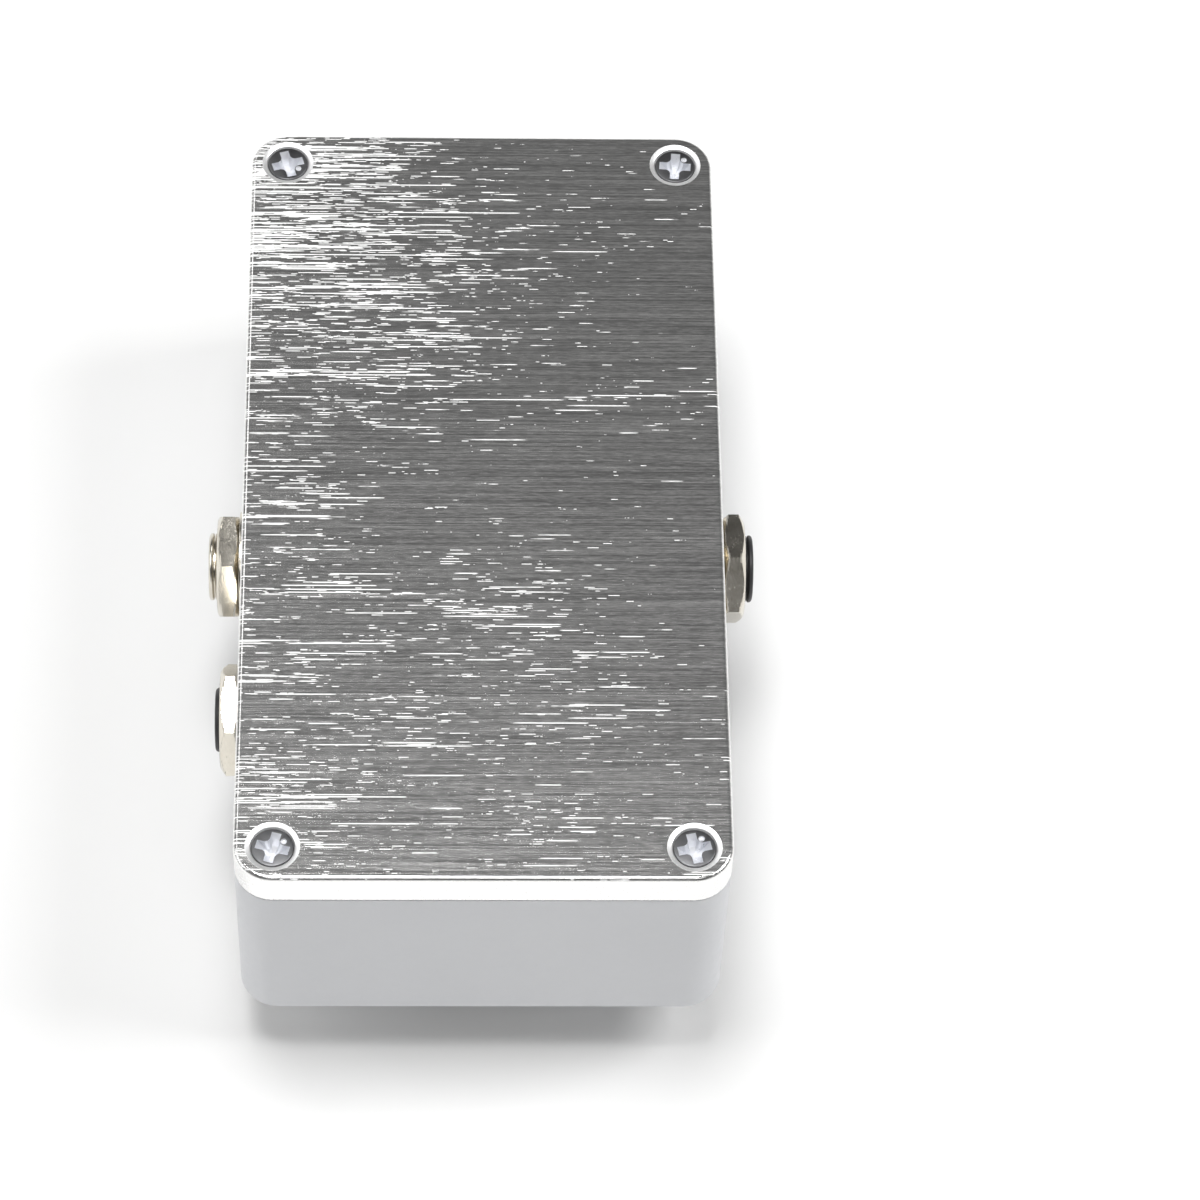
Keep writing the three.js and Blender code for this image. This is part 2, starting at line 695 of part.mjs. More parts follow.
function toggleCase() {
  const [halfX, halfY] = [TOGGLE.length / 2, TOGGLE.width / 2];
  let body = box([-halfX, -halfY, -TOGGLE.depth], [halfX, halfY, BEHIND_WALL]);
  body = body.add(rod(TOGGLE.barrel, BEHIND_WALL - 0.5, TOGGLE.proud));
  for (const x of TOGGLE_LUGS) {
    body = body.add(box([x - 0.4, -1, -TOGGLE.depth - 3], [x + 0.4, 1, -TOGGLE.depth + 1]));
  }
  const leverWay = turned([
    [0, -1.2],
    [LEVER.ball + 0.2, -1.2],
    [LEVER.ball + 0.2, 2],
    [TOGGLE.barrel - 0.7, TOGGLE.proud + 0.1],
    [0, TOGGLE.proud + 0.1],
  ], 20);
  return body.subtract(leverWay);
}

// A bat-shaped lever on a ball, with the ball's centre at the origin.
function leverShape() {
  const profile = [];
  const steps = 5;
  const neck = Math.asin(LEVER.stem / LEVER.ball);
  for (let i = 0; i <= steps; i++) {
    const angle = Math.PI - (Math.PI - neck) * (i / steps);
    profile.push([LEVER.ball * Math.sin(angle), LEVER.ball * Math.cos(angle)]);
  }
  profile[0][0] = 0;
  profile.push([LEVER.tip, LEVER.length - LEVER.tip]);
  for (let i = 1; i <= steps; i++) {
    const angle = (Math.PI / 2) * (1 - i / steps);
    const height = LEVER.length - LEVER.tip + LEVER.tip * Math.cos(angle);
    profile.push([LEVER.tip * Math.sin(angle), height]);
  }
  profile[profile.length - 1][0] = 0;
  return turned(profile, 14);
}

function toggleMeshes(prefix) {
  const nut = hexNut(TOGGLE_NUT, TOGGLE.barrel + THREAD_GAP, GAP);
  const lever = named(prefix + "_lever", leverShape(), nickel());
  lever.position.z = LEVER.pivot;
  lever.rotation.y = THREE.MathUtils.degToRad(LEVER.tilt);
  return [
    named(prefix + "_switch_case", toggleCase(), blackPlastic()),
    named(prefix + "_switch_nut", nut, nickel()),
    lever,
  ];
}

// ---------------------------------------------------------------- status light

function lightMeshes() {
  const domeStart = LIGHT.proud - LIGHT.lens;
  const lens = turned([
    [0, -5],
    [LIGHT.lens, -5],
    [LIGHT.lens, domeStart],
    [LIGHT.lens * 0.87, domeStart + LIGHT.lens * 0.5],
    [LIGHT.lens * 0.5, domeStart + LIGHT.lens * 0.87],
    [0, LIGHT.proud],
  ], 20);
  const leadEnd = STAND_HEIGHT - BOARD.z + LEAD_GAP;
  const leads = [-1.27, 1.27].map((x) => box([x - 0.25, -0.25, leadEnd], [x + 0.25, 0.25, -4]));
  const bezel = turned([
    [LIGHT.lens + 0.15, -LIGHT.depth],
    [LIGHT.barrel, -LIGHT.depth],
    [LIGHT.barrel, GAP],
    [LIGHT.bezel, GAP],
    [LIGHT.bezel, 0.9],
    [LIGHT.bezel - 0.7, 1.5],
    [LIGHT.lens + 0.15, 1.5],
    [LIGHT.lens + 0.15, -LIGHT.depth],
  ], 20);
  return [
    named("status_light_lens", lens.add(leads[0]).add(leads[1]), lensPlastic()),
    named("status_light_bezel", bezel, nickel()),
  ];
}

// ---------------------------------------------------------------- footswitch

const HALF_FOOT = FOOT.size / 2;

function footBushing() {
  const shoulderBack = BEHIND_WALL - 0.9;
  const sleeve = turned([
    [0, -FOOT.plateDepth + 0.5],
    [FOOT.barrel, -FOOT.plateDepth + 0.5],
    [FOOT.barrel, shoulderBack],
    [FOOT_SHOULDER, shoulderBack],
    [FOOT_SHOULDER, BEHIND_WALL],
    [FOOT.barrel, BEHIND_WALL],
    [FOOT.barrel, FOOT.proud - 0.4],
    [FOOT.barrel - 0.4, FOOT.proud],
    [0, FOOT.proud],
  ]);
  const cover = box(
    [-HALF_FOOT, -HALF_FOOT, -FOOT.plateDepth],
    [HALF_FOOT, HALF_FOOT, -FOOT.plateDepth + FOOT_COVER],
  );
  return sleeve.add(cover).subtract(rod(FOOT.bore, -FOOT.plateDepth - 1, FOOT.proud + 1, 32));
}

function footCase() {
  return roundedBlock(FOOT.size - 0.4, FOOT.size - 0.4, 1, [
    [-FOOT.depth, 0],
    [-FOOT.plateDepth - GAP, 0],
  ], 2);
}

function footTerminals() {
  const top = -FOOT.depth - GAP;
  const half = HALF_FOOT - 0.2;
  let plate = box([-half, -half, top - 1.2], [half, half, top]);
  for (const x of FOOT_LUGS) {
    for (const y of FOOT_LUGS) {
      plate = plate.add(box([x - 1, y - 0.35, top - 5], [x + 1, y + 0.35, top - 1]));
    }
  }
  return plate;
}

function footButton() {
  const top = STAND_HEIGHT;
  const shape = turned([
    [0, -BUTTON.tail],
    [BUTTON.radius, -BUTTON.tail],
    [BUTTON.radius, top - BUTTON.dome],
    [BUTTON.radius * 0.88, top - BUTTON.dome * 0.55],
    [BUTTON.radius * 0.6, top - BUTTON.dome * 0.15],
    [BUTTON.radius * 0.25, top],
    [0, top],
  ]);
  return shape.subtract(rod(BUTTON.bore, -BUTTON.tail - 1, BUTTON.boreEnd, 20));
}

class Helix extends THREE.Curve {
  constructor(radius, bottom, top, turns) {
    super();
    Object.assign(this, { radius, bottom, top, turns });
  }

  getPoint(t, target = new THREE.Vector3()) {
    const angle = t * this.turns * Math.PI * 2;
    const height = this.bottom + (this.top - this.bottom) * t;
    return target.set(this.radius * Math.cos(angle), this.radius * Math.sin(angle), height);
  }
}

function footSpring() {
  const bottom = -FOOT.plateDepth + SPRING.wire + GAP;
  const top = BUTTON.boreEnd - SPRING.wire - GAP;
  const path = new Helix(SPRING.radius, bottom, top, SPRING.turns);
  return tube(path, SPRING.wire, SPRING.turns * 8, 4);
}

function footMeshes() {
  const hole = FOOT.barrel + THREAD_GAP;
  const washerTop = GAP + FOOT_WASHER.height;
  return [
    named("footswitch_bushing", footBushing(), nickel()),
    named("footswitch_case", footCase(), blackPlastic()),
    named("footswitch_terminals", footTerminals(), contactMetal()),
    named("footswitch_washer", ring(hole, FOOT_WASHER.radius, GAP, washerTop), nickel()),
    named("footswitch_nut", hexNut(FOOT_NUT, hole, washerTop + GAP), nickel()),
    named("footswitch_button", footButton(), nickel()),
    named("footswitch_spring", footSpring(), springSteel()),
  ];
}

// ---------------------------------------------------------------- electronics

function circuitBoard() {
  const { z, halfWidth, nearY, farY, tabY } = BOARD;
  const main = box([-halfWidth, nearY, z], [halfWidth, farY, BOARD_TOP]);
  return main.add(box([-5, tabY, z], [5, nearY + 1, BOARD_TOP]));
}

function amplifierChip() {
  const { y, halfWidth, halfLength, height, pitch, lead } = CHIP;
  const bottom = BOARD_TOP + 0.9;
  const low = [-halfWidth, y - halfLength, bottom];
  let chip = box(low, [halfWidth, y + halfLength, bottom + height]);
  for (let i = 0; i < 4; i++) {
    const leadY = y + (i - 1.5) * pitch;
    for (const x of [-lead, lead]) {
      const leadLow = [x - 0.55, leadY - 0.3, BOARD_TOP + 0.2];
      chip = chip.add(box(leadLow, [x + 0.55, leadY + 0.3, bottom + height / 2]));
    }
  }
  return chip;
}

function capacitor(side) {
  const { x, y, radius, height } = CAPACITOR;
  const bottom = BOARD_TOP + 0.2;
  const top = bottom + height;
  const profile = [
    [0, bottom],
    [radius, bottom],
    [radius, top - 0.4],
    [radius - 0.35, top],
    [0, top],
  ];
  return turned(profile, 16, side * x, y);
}

// Laminations with two windows, and the coil round the leg between them.
function transformerMeshes() {
  const { x, y, width, depth, height, yoke, leg } = TRANSFORMER;
  const bottom = INNER_FACE + 0.3;
  const top = bottom + height;
  const windowEnd = width / 2 - 2.4;
  let core = box([-width / 2, -depth / 2, bottom], [width / 2, depth / 2, top]);
  for (const side of [-1, 1]) {
    const edges = [side * leg, side * windowEnd].sort((a, b) => a - b);
    const low = [edges[0], -depth, bottom + yoke];
    core = core.subtract(box(low, [edges[1], depth, top - yoke]));
  }
  const coilLevels = [[bottom + yoke + 0.3, 0], [top - yoke - 0.3, 0]];
  const hole = roundedBlock(2 * leg + 0.5, depth + 0.5, 0.3, [[bottom, 0], [top, 0]], 2);
  const coil = roundedBlock(COIL.width, COIL.length, COIL.corner, coilLevels, 4).subtract(hole);
  return [
    named("transformer_core", core.translate([x, y, 0]), laminations()),
    named("transformer_coil", coil.translate([x, y, 0]), windingTape()),
  ];
}

function wire(points, steps) {
  const curve = new THREE.CatmullRomCurve3(points.map((p) => new THREE.Vector3(...p)));
  return tube(curve, WIRE_RADIUS, steps, 6);
}

function signalWire() {
  const lugZ = JACK_Z + 6;
  const end = HALF_WIDTH - JACK.depth - 0.9;
  const link = wire([[-end, 0, lugZ], [0, 0, lugZ + 1], [end, 0, lugZ]], 8);
  const branch = wire([[0, 0, lugZ + 1], [0, 8, lugZ], [0, 14, 30], [0, 17, WIRE_END_Z]], 12);
  return link.add(branch);
}

function powerWire() {
  const start = [-HALF_WIDTH + 17.4, DC.y, DC_Z];
  return wire([start, [-11, -20, 30], [-3, -9, 31.5], [-3, 8, 31.5], [-6, 17, WIRE_END_Z]], 20);
}

function footswitchWire() {
  const start = [0, FOOT.y + 5, STAND_HEIGHT + FOOT.depth + 5.6];
  return wire([start, [1.5, -25, 36.5], [3, -10, 32], [3, 8, 31.5], [6, 17, WIRE_END_Z]], 20);
}

function outputWire() {
  const [x, y] = [-XLR_PINS[0][0], XLR.z + XLR_PINS[0][1]];
  const start = [x, HALF_LENGTH - XLR_DEPTH.cups - 0.4, y];
  const end = [x + 0.6, 32, WIRE_END_Z];
  return wire([start, [x, 36.5, y + 0.8], [x + 0.5, 33, WIRE_END_Z + 1.5], end], 10);
}

function electronicsMeshes() {
  return [
    named("circuit_board", circuitBoard(), boardResin()),
    named("amplifier_chip", amplifierChip(), blackPlastic()),
    named("capacitor_left", capacitor(-1), sleevePlastic()),
    named("capacitor_right", capacitor(1), sleevePlastic()),
    ...transformerMeshes(),
    named("signal_wire", signalWire(), wireJacket()),
    named("power_wire", powerWire(), wireJacket()),
    named("footswitch_wire", footswitchWire(), wireJacket()),
    named("output_wire", outputWire(), wireJacket()),
  ];
}

// ---------------------------------------------------------------- assembly

function lidScrewMeshes() {
  return CORNERS.map(([place, sx, sy]) => {
    const mesh = named("lid_screw_" + place, lidScrew(), zincSteel());
    mesh.position.set(sx * LID_SCREW.x, sy * LID_SCREW.y, 0);
    return mesh;
  });
}

const injectionBox = new THREE.Group();
injectionBox.position.y = CASE_Y;
injectionBox.add(
  named("enclosure_body", enclosureBody(), powderCoat()),
  named("base_plate", basePlate(), brushedAluminium()),
  ...lidScrewMeshes(),
  ...electronicsMeshes(),
  facing(LEFT, UP, [-HALF_WIDTH, JACK.y, JACK_Z], inputJackMeshes()),
  facing(RIGHT, UP, [HALF_WIDTH, JACK.y, JACK_Z], thruJackMeshes()),
  facing(LEFT, UP, [-HALF_WIDTH, DC.y, DC_Z], dcMeshes()),
  facing(FAR, UP, [0, HALF_LENGTH, XLR.z], xlrMeshes()),
  facing(DOWN, FAR, [-POT.x, POT.y, STAND_HEIGHT], controlMeshes("gain")),
  facing(DOWN, FAR, [POT.x, POT.y, STAND_HEIGHT], controlMeshes("level")),
  facing(DOWN, FAR, [-TOGGLE.x, TOGGLE.y, STAND_HEIGHT], toggleMeshes("ground_lift")),
  facing(DOWN, FAR, [TOGGLE.x, TOGGLE.y, STAND_HEIGHT], toggleMeshes("pad")),
  facing(DOWN, FAR, [0, LIGHT.y, STAND_HEIGHT], lightMeshes()),
  facing(DOWN, FAR, [0, FOOT.y, STAND_HEIGHT], footMeshes()),
);

export default injectionBox;
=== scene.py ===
"""A direct injection box lying on its controls, lid up, on a pale studio floor.

Every shape is modelled in millimetres on the axis of its own panel, then placed in metres.
"""

import json
import math

import bpy
from mathutils import Matrix, Vector


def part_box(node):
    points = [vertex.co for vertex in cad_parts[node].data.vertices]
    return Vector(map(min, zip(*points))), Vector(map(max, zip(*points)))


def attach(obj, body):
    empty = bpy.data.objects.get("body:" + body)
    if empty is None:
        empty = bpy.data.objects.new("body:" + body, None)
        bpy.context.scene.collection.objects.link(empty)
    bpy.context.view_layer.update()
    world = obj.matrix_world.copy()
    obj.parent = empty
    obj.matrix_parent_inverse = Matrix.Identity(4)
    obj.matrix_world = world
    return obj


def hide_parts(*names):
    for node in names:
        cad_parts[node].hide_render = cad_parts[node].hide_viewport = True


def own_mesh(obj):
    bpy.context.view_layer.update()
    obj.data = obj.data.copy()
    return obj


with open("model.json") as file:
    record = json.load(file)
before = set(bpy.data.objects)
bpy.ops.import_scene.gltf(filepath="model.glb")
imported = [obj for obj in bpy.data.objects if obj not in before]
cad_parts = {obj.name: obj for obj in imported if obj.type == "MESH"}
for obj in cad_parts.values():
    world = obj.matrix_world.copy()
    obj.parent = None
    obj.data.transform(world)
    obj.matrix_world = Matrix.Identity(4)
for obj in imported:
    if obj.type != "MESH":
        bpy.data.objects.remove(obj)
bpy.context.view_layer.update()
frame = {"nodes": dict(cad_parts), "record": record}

MM = 0.001
SCENE = bpy.context.scene

# ---------------- the frame's own places


def box_mm(node):
    low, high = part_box(node)
    return low / MM, high / MM


CASE_LOW, CASE_HIGH = box_mm("enclosure_body")
LID_LOW, LID_HIGH = box_mm("base_plate")
LID_TOP = LID_HIGH.z
FACE_Z = CASE_LOW.z
RIM_Z = CASE_HIGH.z
CASE_MIDDLE = (CASE_LOW + CASE_HIGH) / 2

LEFT, RIGHT = Vector((-1, 0, 0)), Vector((1, 0, 0))
FAR, UP, DOWN = Vector((0, 1, 0)), Vector((0, 0, 1)), Vector((0, 0, -1))


def panel(node, outward, up):
    """The axis of a round node on a wall of the case: +Z outward, z = 0 on the wall's outside."""
    low, high = box_mm(node)
    origin = (low + high) / 2
    axis = max(range(3), key=lambda i: abs(outward[i]))
    origin[axis] = CASE_HIGH[axis] if outward[axis] > 0 else CASE_LOW[axis]
    facing = Matrix((up.cross(outward), up, outward)).transposed().to_4x4()
    return Matrix.Translation(origin) @ facing


def reach(node, place):
    """A node's lowest and highest corner on a panel's own axes."""
    inverse = place.inverted()
    corners = [inverse @ corner for corner in box_mm(node)]
    low = Vector([min(c[i] for c in corners) for i in range(3)])
    high = Vector([max(c[i] for c in corners) for i in range(3)])
    return low, high


# ---------------- sizes that the looks add, mm

CORNER = 5.2
WALL = 2.3
LID_EDGE = 0.65
LID_PLATE = 2.6
LID_RIM = 3.2
LID_LIP = (2.6, 4.2)
FACE_EDGE = 1.1
BOSS = 4.6
SCREW_HEAD = 2.88
SCREW_SHANK = 1.65
SCREW_SUNK = 0.3
RING = 3.66
NUT_FLATS = 14.0
JACK_BARREL = 4.7
JACK_BORE = 3.3
JACK_THREAD_PITCH = 0.79
DC_BARREL = 4.5
DC_BORE = 2.85
XLR_SOCKET = 8.0
XLR_COLLAR = 10.8
XLR_BARREL = 11.8
TOGGLE_BARREL = 3.0
FOOT_BARREL = 5.9
FOOT_BORE = 5.1
POT_BARREL = 3.5
KNOB_HOLLOW = 6.4
KNOB_HUB = 3.12
LIGHT_HOLE = 3.65
PILOT_DEPTH = 14
XLR_SCREW_HOLE = 1.75
XLR_INSERT = 9.9
XLR_DEPTH = 9
HOLE_GAP = 0.25
NUT_GAP = 0.1
NUT_MOUTH = 0.35
AXIS_GAP = 0.002

# Ratios: a nut's seat to its flats, its chamfer's slope, a fillet's largest share of a side.
NUT_SEAT = 0.475
CHAMFER_SLOPE = math.tan(math.radians(30))
FILLET_SHARE = 0.48

# A driver recess: its span, the width of a wing, and its depth.
SCREW_CROSS = (4.5, 1.3, 1.7)
XLR_SCREW_CROSS = (2.9, 0.8, 1.1)
XLR_SCREW_TURNS = {"upper": 15, "lower": 37}

# ---------------- mesh helpers


def ring_of(radius_at, height, segments):
    """A ring of points about Z, with a radius for each angle."""
    points = []
    for i in range(segments):
        angle = 2 * math.pi * i / segments
        radius = radius_at(angle)
        points.append((radius * math.cos(angle), radius * math.sin(angle), height))
    return points


def round_rings(profile, segments):
    """One circle for each (radius, height)."""
    return [ring_of(lambda _angle, r=radius: r, height, segments) for radius, height in profile]


def skin(rings, closed=False):
    """A closed surface through rings with the same number of points, capped or joined to itself."""
    count = len(rings[0])
    vertices = [point for ring in rings for point in ring]
    faces = []
    levels = len(rings) if closed else len(rings) - 1
    for level in range(levels):
        low = level * count
        high = (level + 1) % len(rings) * count
        for i in range(count):
            j = (i + 1) % count
            faces.append((low + i, low + j, high + j, high + i))
    if not closed:
        faces.append(tuple(reversed(range(count))))
        faces.append(tuple(range(len(vertices) - count, len(vertices))))
    return vertices, faces


def filleted(points, radius, steps=4, closed=False):
    """The same outline with its corners rounded."""
    result = []
    last = len(points) - 1
    for i, point in enumerate(points):
        if not closed and i in (0, last):
            result.append(point)
            continue
        here = Vector(point)
        before = Vector(points[i - 1]) - here
        after = Vector(points[(i + 1) % len(points)]) - here
        size = min(radius, before.length * FILLET_SHARE, after.length * FILLET_SHARE)
        start = here + before.normalized() * size
        end = here + after.normalized() * size
        for step in range(steps + 1):
            t = step / steps
            bent = start.lerp(here, t).lerp(here.lerp(end, t), t)
            result.append(tuple(bent))
    return result


def turned(profile, fillet=0.0, segments=72, steps=4):
    """A solid of revolution about Z. A profile off the axis closes on itself."""
    off_axis = profile[0][0] > 0
    if fillet:
        profile = filleted(profile, fillet, steps, closed=off_axis)
    profile = [(max(radius, AXIS_GAP), height) for radius, height in profile]
    return skin(round_rings(profile, segments), closed=off_axis)


def rounded_rectangle(half_x, half_y, radius, height, steps=10):
    points = []
    for corner, (sx, sy) in enumerate(((1, 1), (-1, 1), (-1, -1), (1, -1))):
        for i in range(steps + 1):
            angle = (corner + i / steps) * math.pi / 2
            x = sx * (half_x - radius) + radius * math.cos(angle)
            y = sy * (half_y - radius) + radius * math.sin(angle)
            points.append((x, y, height))
    return points


def block(half_x, half_y, radius, levels, steps=10):
    """A block with rounded upright corners, through levels of (height, inset)."""
    rings = []
    for height, inset in levels:
        corner = max(radius - inset, 0.05)
        rings.append(rounded_rectangle(half_x - inset, half_y - inset, corner, height, steps))
    return skin(rings)


def edge_levels(height, radius, direction, steps=6):
    """Levels for block that round an edge: direction is 1 for a lower edge, -1 for an upper one."""
    levels = []
    for i in range(steps + 1):
        angle = i / steps * math.pi / 2
        rise = radius * (1 - math.cos(angle))
        levels.append((height + direction * rise, radius * (1 - math.sin(angle))))
    return levels if direction > 0 else levels[::-1]


def rod(radius, bottom, top, x=0.0, y=0.0, segments=64):
    outline = [(0, bottom), (radius, bottom), (radius, top), (0, top)]
    return moved(turned(outline, 0, segments), x, y)


def bar(low, high, edge):
    """A box between two corners, with its edges a little rounded."""
    half_x, half_y = (high[0] - low[0]) / 2, (high[1] - low[1]) / 2
    levels = [(low[2], edge), (low[2] + edge, 0), (high[2] - edge, 0), (high[2], edge)]
    shape = block(half_x, half_y, edge, levels, 2)
    return moved(shape, (low[0] + high[0]) / 2, (low[1] + high[1]) / 2)


def moved(shape, x=0.0, y=0.0, z=0.0):
    vertices, faces = shape
    return [(a + x, b + y, c + z) for a, b, c in vertices], faces


def turned_about_z(shape, degrees):
    cosine, sine = math.cos(math.radians(degrees)), math.sin(math.radians(degrees))
    vertices, faces = shape
    return [(x * cosine - y * sine, x * sine + y * cosine, z) for x, y, z in vertices], faces


def transformed(shape, matrix):
    vertices, faces = shape
    return [tuple(matrix @ Vector(v)) for v in vertices], faces


def together(*shapes):
    """Several closed shapes as one mesh."""
    vertices, faces = [], []
    for more_vertices, more_faces in shapes:
        start = len(vertices)
        vertices += more_vertices
        faces += [tuple(start + i for i in face) for face in more_faces]
    return vertices, faces


def as_object(name, shape):
    vertices, faces = shape
    mesh = bpy.data.meshes.new(name)
    mesh.from_pydata(vertices, [], faces)
    obj = bpy.data.objects.new(name, mesh)
    SCENE.collection.objects.link(obj)
    return obj


def apply_modifiers(obj):
    graph = bpy.context.evaluated_depsgraph_get()
    mesh = bpy.data.meshes.new_from_object(obj.evaluated_get(graph))
    old = obj.data
    obj.modifiers.clear()
    obj.data = mesh
    bpy.data.meshes.remove(old)


def combine(obj, shape, operation="DIFFERENCE"):
    """Cuts a shape from an object, or joins it on."""
    tool = as_object("tool", shape)
    modifier = obj.modifiers.new("combine", "BOOLEAN")
    modifier.operation = operation
    modifier.solver = "EXACT"
    modifier.use_self = True
    modifier.object = tool
    apply_modifiers(obj)
    bpy.data.objects.remove(tool)


def settle(obj, place, body, slot, *nodes, sharp=32, material=None):
    """Puts a finished piece in the frame. It has its slot's material, unless another is given."""
    obj.data.transform(Matrix.Scale(MM, 4) @ place)
    obj.data.materials.clear()
    obj.data.materials.append(material or MATERIALS[slot])
    obj.data.shade_smooth()
    obj.data.set_sharp_from_angle(angle=math.radians(sharp))
    weighted = obj.modifiers.new("weighted", "WEIGHTED_NORMAL")
    weighted.keep_sharp = True
    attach(obj, body)
    if nodes:
        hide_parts(*nodes)
    return obj


# ---------------- repeated shapes


def hex_nut(flats, bottom, top, bore, turn, per_side):
    """A hexagonal nut with 30 degree chamfers where its corners meet the ends."""
    segments = 6 * per_side
    seat = flats * NUT_SEAT
    corner_drop = (flats / math.sqrt(3) - seat) * CHAMFER_SLOPE
    steps = 9

    def outline(height):
        cone = seat + min(height - bottom, top - height) / CHAMFER_SLOPE

        def radius_at(angle):
            local = (angle - math.radians(turn)) % (math.pi / 3) - math.pi / 6
            return min(flats / 2 / math.cos(local), cone)

        return radius_at

    heights = [bottom + corner_drop * i / steps for i in range(steps + 1)]
    heights += [top - corner_drop * i / steps for i in range(steps, -1, -1)]
    if heights[steps] > heights[steps + 1]:
        heights = [bottom + (top - bottom) * i / (2 * steps) for i in range(2 * steps + 1)]
    shift = math.radians(turn)
    rings = []
    for height in heights:
        radius_at = outline(height)
        ring = ring_of(lambda a, f=radius_at: f(a + shift), height, segments)
        rings.append(ring)
    mouth = bore + NUT_MOUTH
    inside = [(mouth, top), (bore, top - NUT_MOUTH), (bore, bottom + NUT_MOUTH), (mouth, bottom)]
    rings += round_rings(inside, segments)
    return turned_about_z(skin(rings, closed=True), turn)


def thread_rings(radius, bottom, top, pitch, depth, segments=72, per_turn=8):
    """Rings that follow a helical thread, which fades out at both ends."""
    crest = 1.35
    count = max(2, round((top - bottom) / pitch * per_turn))
    rings = []
    for level in range(count + 1):
        height = bottom + (top - bottom) * level / count
        fade = min(1.0, level / per_turn, (count - level) / per_turn)

        def radius_at(angle, z=height, f=fade):
            phase = (z / pitch + angle / (2 * math.pi)) % 1.0
            groove = min(1.0, max(0.0, crest * (1 - abs(2 * phase - 1))))
            return radius - depth * groove * f

        rings.append(ring_of(radius_at, height, segments))
    return rings


def threaded_tube(profile_start, thread, profile_end, segments=72):
    """A tube whose outside is partly threaded. The profiles close it through its bore."""
    rings = round_rings(profile_start, segments)
    rings += thread_rings(*thread, segments=segments)
    rings += round_rings(profile_end, segments)
    return skin(rings, closed=True)


def cross_recess(top, span, width, depth):
    """A cross-shaped driver recess, filled out between its wings, that tapers to its point."""

    def cross(height, tip, half):
        fill = half * 1.9
        quarter = [(tip, -half), (tip, half), (fill, half), (half * 1.3, half * 1.3), (half, fill)]
        points = []
        for turn in range(4):
            for x, y in quarter:
                for _ in range(turn):
                    x, y = -y, x
                points.append((x, y, height))
        return points

    lift = 0.6
    core = 1.15
    slope = (span / 2 - core) / depth
    rings = [
        cross(top - depth - 0.5, 0.3, 0.15),
        cross(top - depth, core, width * 0.34),
        cross(top - depth * 0.45, core + slope * depth * 0.55, width * 0.45),
        cross(top, span / 2, width / 2),
        cross(top + lift, span / 2 + slope * lift, width / 2 + 0.05),
    ]
    return skin(rings)


# ---------------- materials


class Finish:
    """A material made of nodes, with short ways to add and link them."""

    def __init__(self, name, roughness=0.5, metallic=0.0):
        self.material = bpy.data.materials.new(name)
        self.material.use_nodes = True
        self.tree = self.material.node_tree
        self.shader = self.tree.nodes["Principled BSDF"]
        self.set("Metallic", metallic)
        self.set("Roughness", roughness)
        self.set("Base Color", (0.5, 0.5, 0.5, 1.0))
        coordinates = self.tree.nodes.new("ShaderNodeTexCoord")
        self.position = coordinates.outputs["Object"]

    def set(self, socket, value):
        target = self.shader.inputs[socket]
        if isinstance(value, bpy.types.NodeSocket):
            self.tree.links.new(value, target)
        else:
            target.default_value = value

    def node(self, kind, *values, **settings):
        made = self.tree.nodes.new(kind)
        for name, value in settings.items():
            setattr(made, name, value)
        for socket, value in zip(made.inputs, values):
            if isinstance(value, bpy.types.NodeSocket):
                self.tree.links.new(value, socket)
            elif value is not None:
                socket.default_value = value
        return made

    def scaled(self, scale):
        made = self.node("ShaderNodeVectorMath", self.position, scale, operation="MULTIPLY")
        return made.outputs[0]

    def texture(self, vector, detail, roughness):
        made = self.node("ShaderNodeTexNoise", vector, normalize=True)
        for name, value in (("Scale", 1.0), ("Detail", detail), ("Roughness", roughness)):
            made.inputs[name].default_value = value
        return made.outputs["Fac"]

    def noise(self, scale, detail=3.0, roughness=0.55):
        """Noise whose scale is features per metre along X, Y and Z."""
        return self.texture(self.scaled(scale), detail, roughness)

    def rows(self, pitch, along, detail):
        """Noise that runs along X in straight rows, pitch of them to the metre in Y."""
        row_step, slice_z = 17.31, 0.37
        apart = self.node("ShaderNodeSeparateXYZ", self.scaled((along, pitch, 1)))
        row = self.maths("MULTIPLY", self.maths("FLOOR", apart.outputs[1]), row_step)
        place = self.node("ShaderNodeCombineXYZ", apart.outputs[0], row, slice_z)
        return self.texture(place.outputs[0], detail, 0.5)

    def remap(self, value, low, high, to_low=0.0, to_high=1.0):
        made = self.node("ShaderNodeMapRange", value, low, high, to_low, to_high)
        made.clamp = True
        return made.outputs[0]

    def maths(self, operation, *values):
        return self.node("ShaderNodeMath", *values, operation=operation).outputs[0]

    def mix(self, factor, first, second):
        made = self.tree.nodes.new("ShaderNodeMix")
        made.data_type = "RGBA"
        for name, value in (("Factor_Float", factor), ("A_Color", first), ("B_Color", second)):
            socket = next(s for s in made.inputs if s.identifier == name)
            if isinstance(value, bpy.types.NodeSocket):
                self.tree.links.new(value, socket)
            else:
                socket.default_value = value if name == "Factor_Float" else (*value, 1.0)
        return next(s for s in made.outputs if s.identifier == "Result_Color")

    def bump(self, height, strength, distance):
        """Relief of the surface, with its distance in metres."""
        made = self.tree.nodes.new("ShaderNodeBump")
        made.inputs["Strength"].default_value = strength
        made.inputs["Distance"].default_value = distance
        self.tree.links.new(height, made.inputs["Height"])
        self.set("Normal", made.outputs[0])


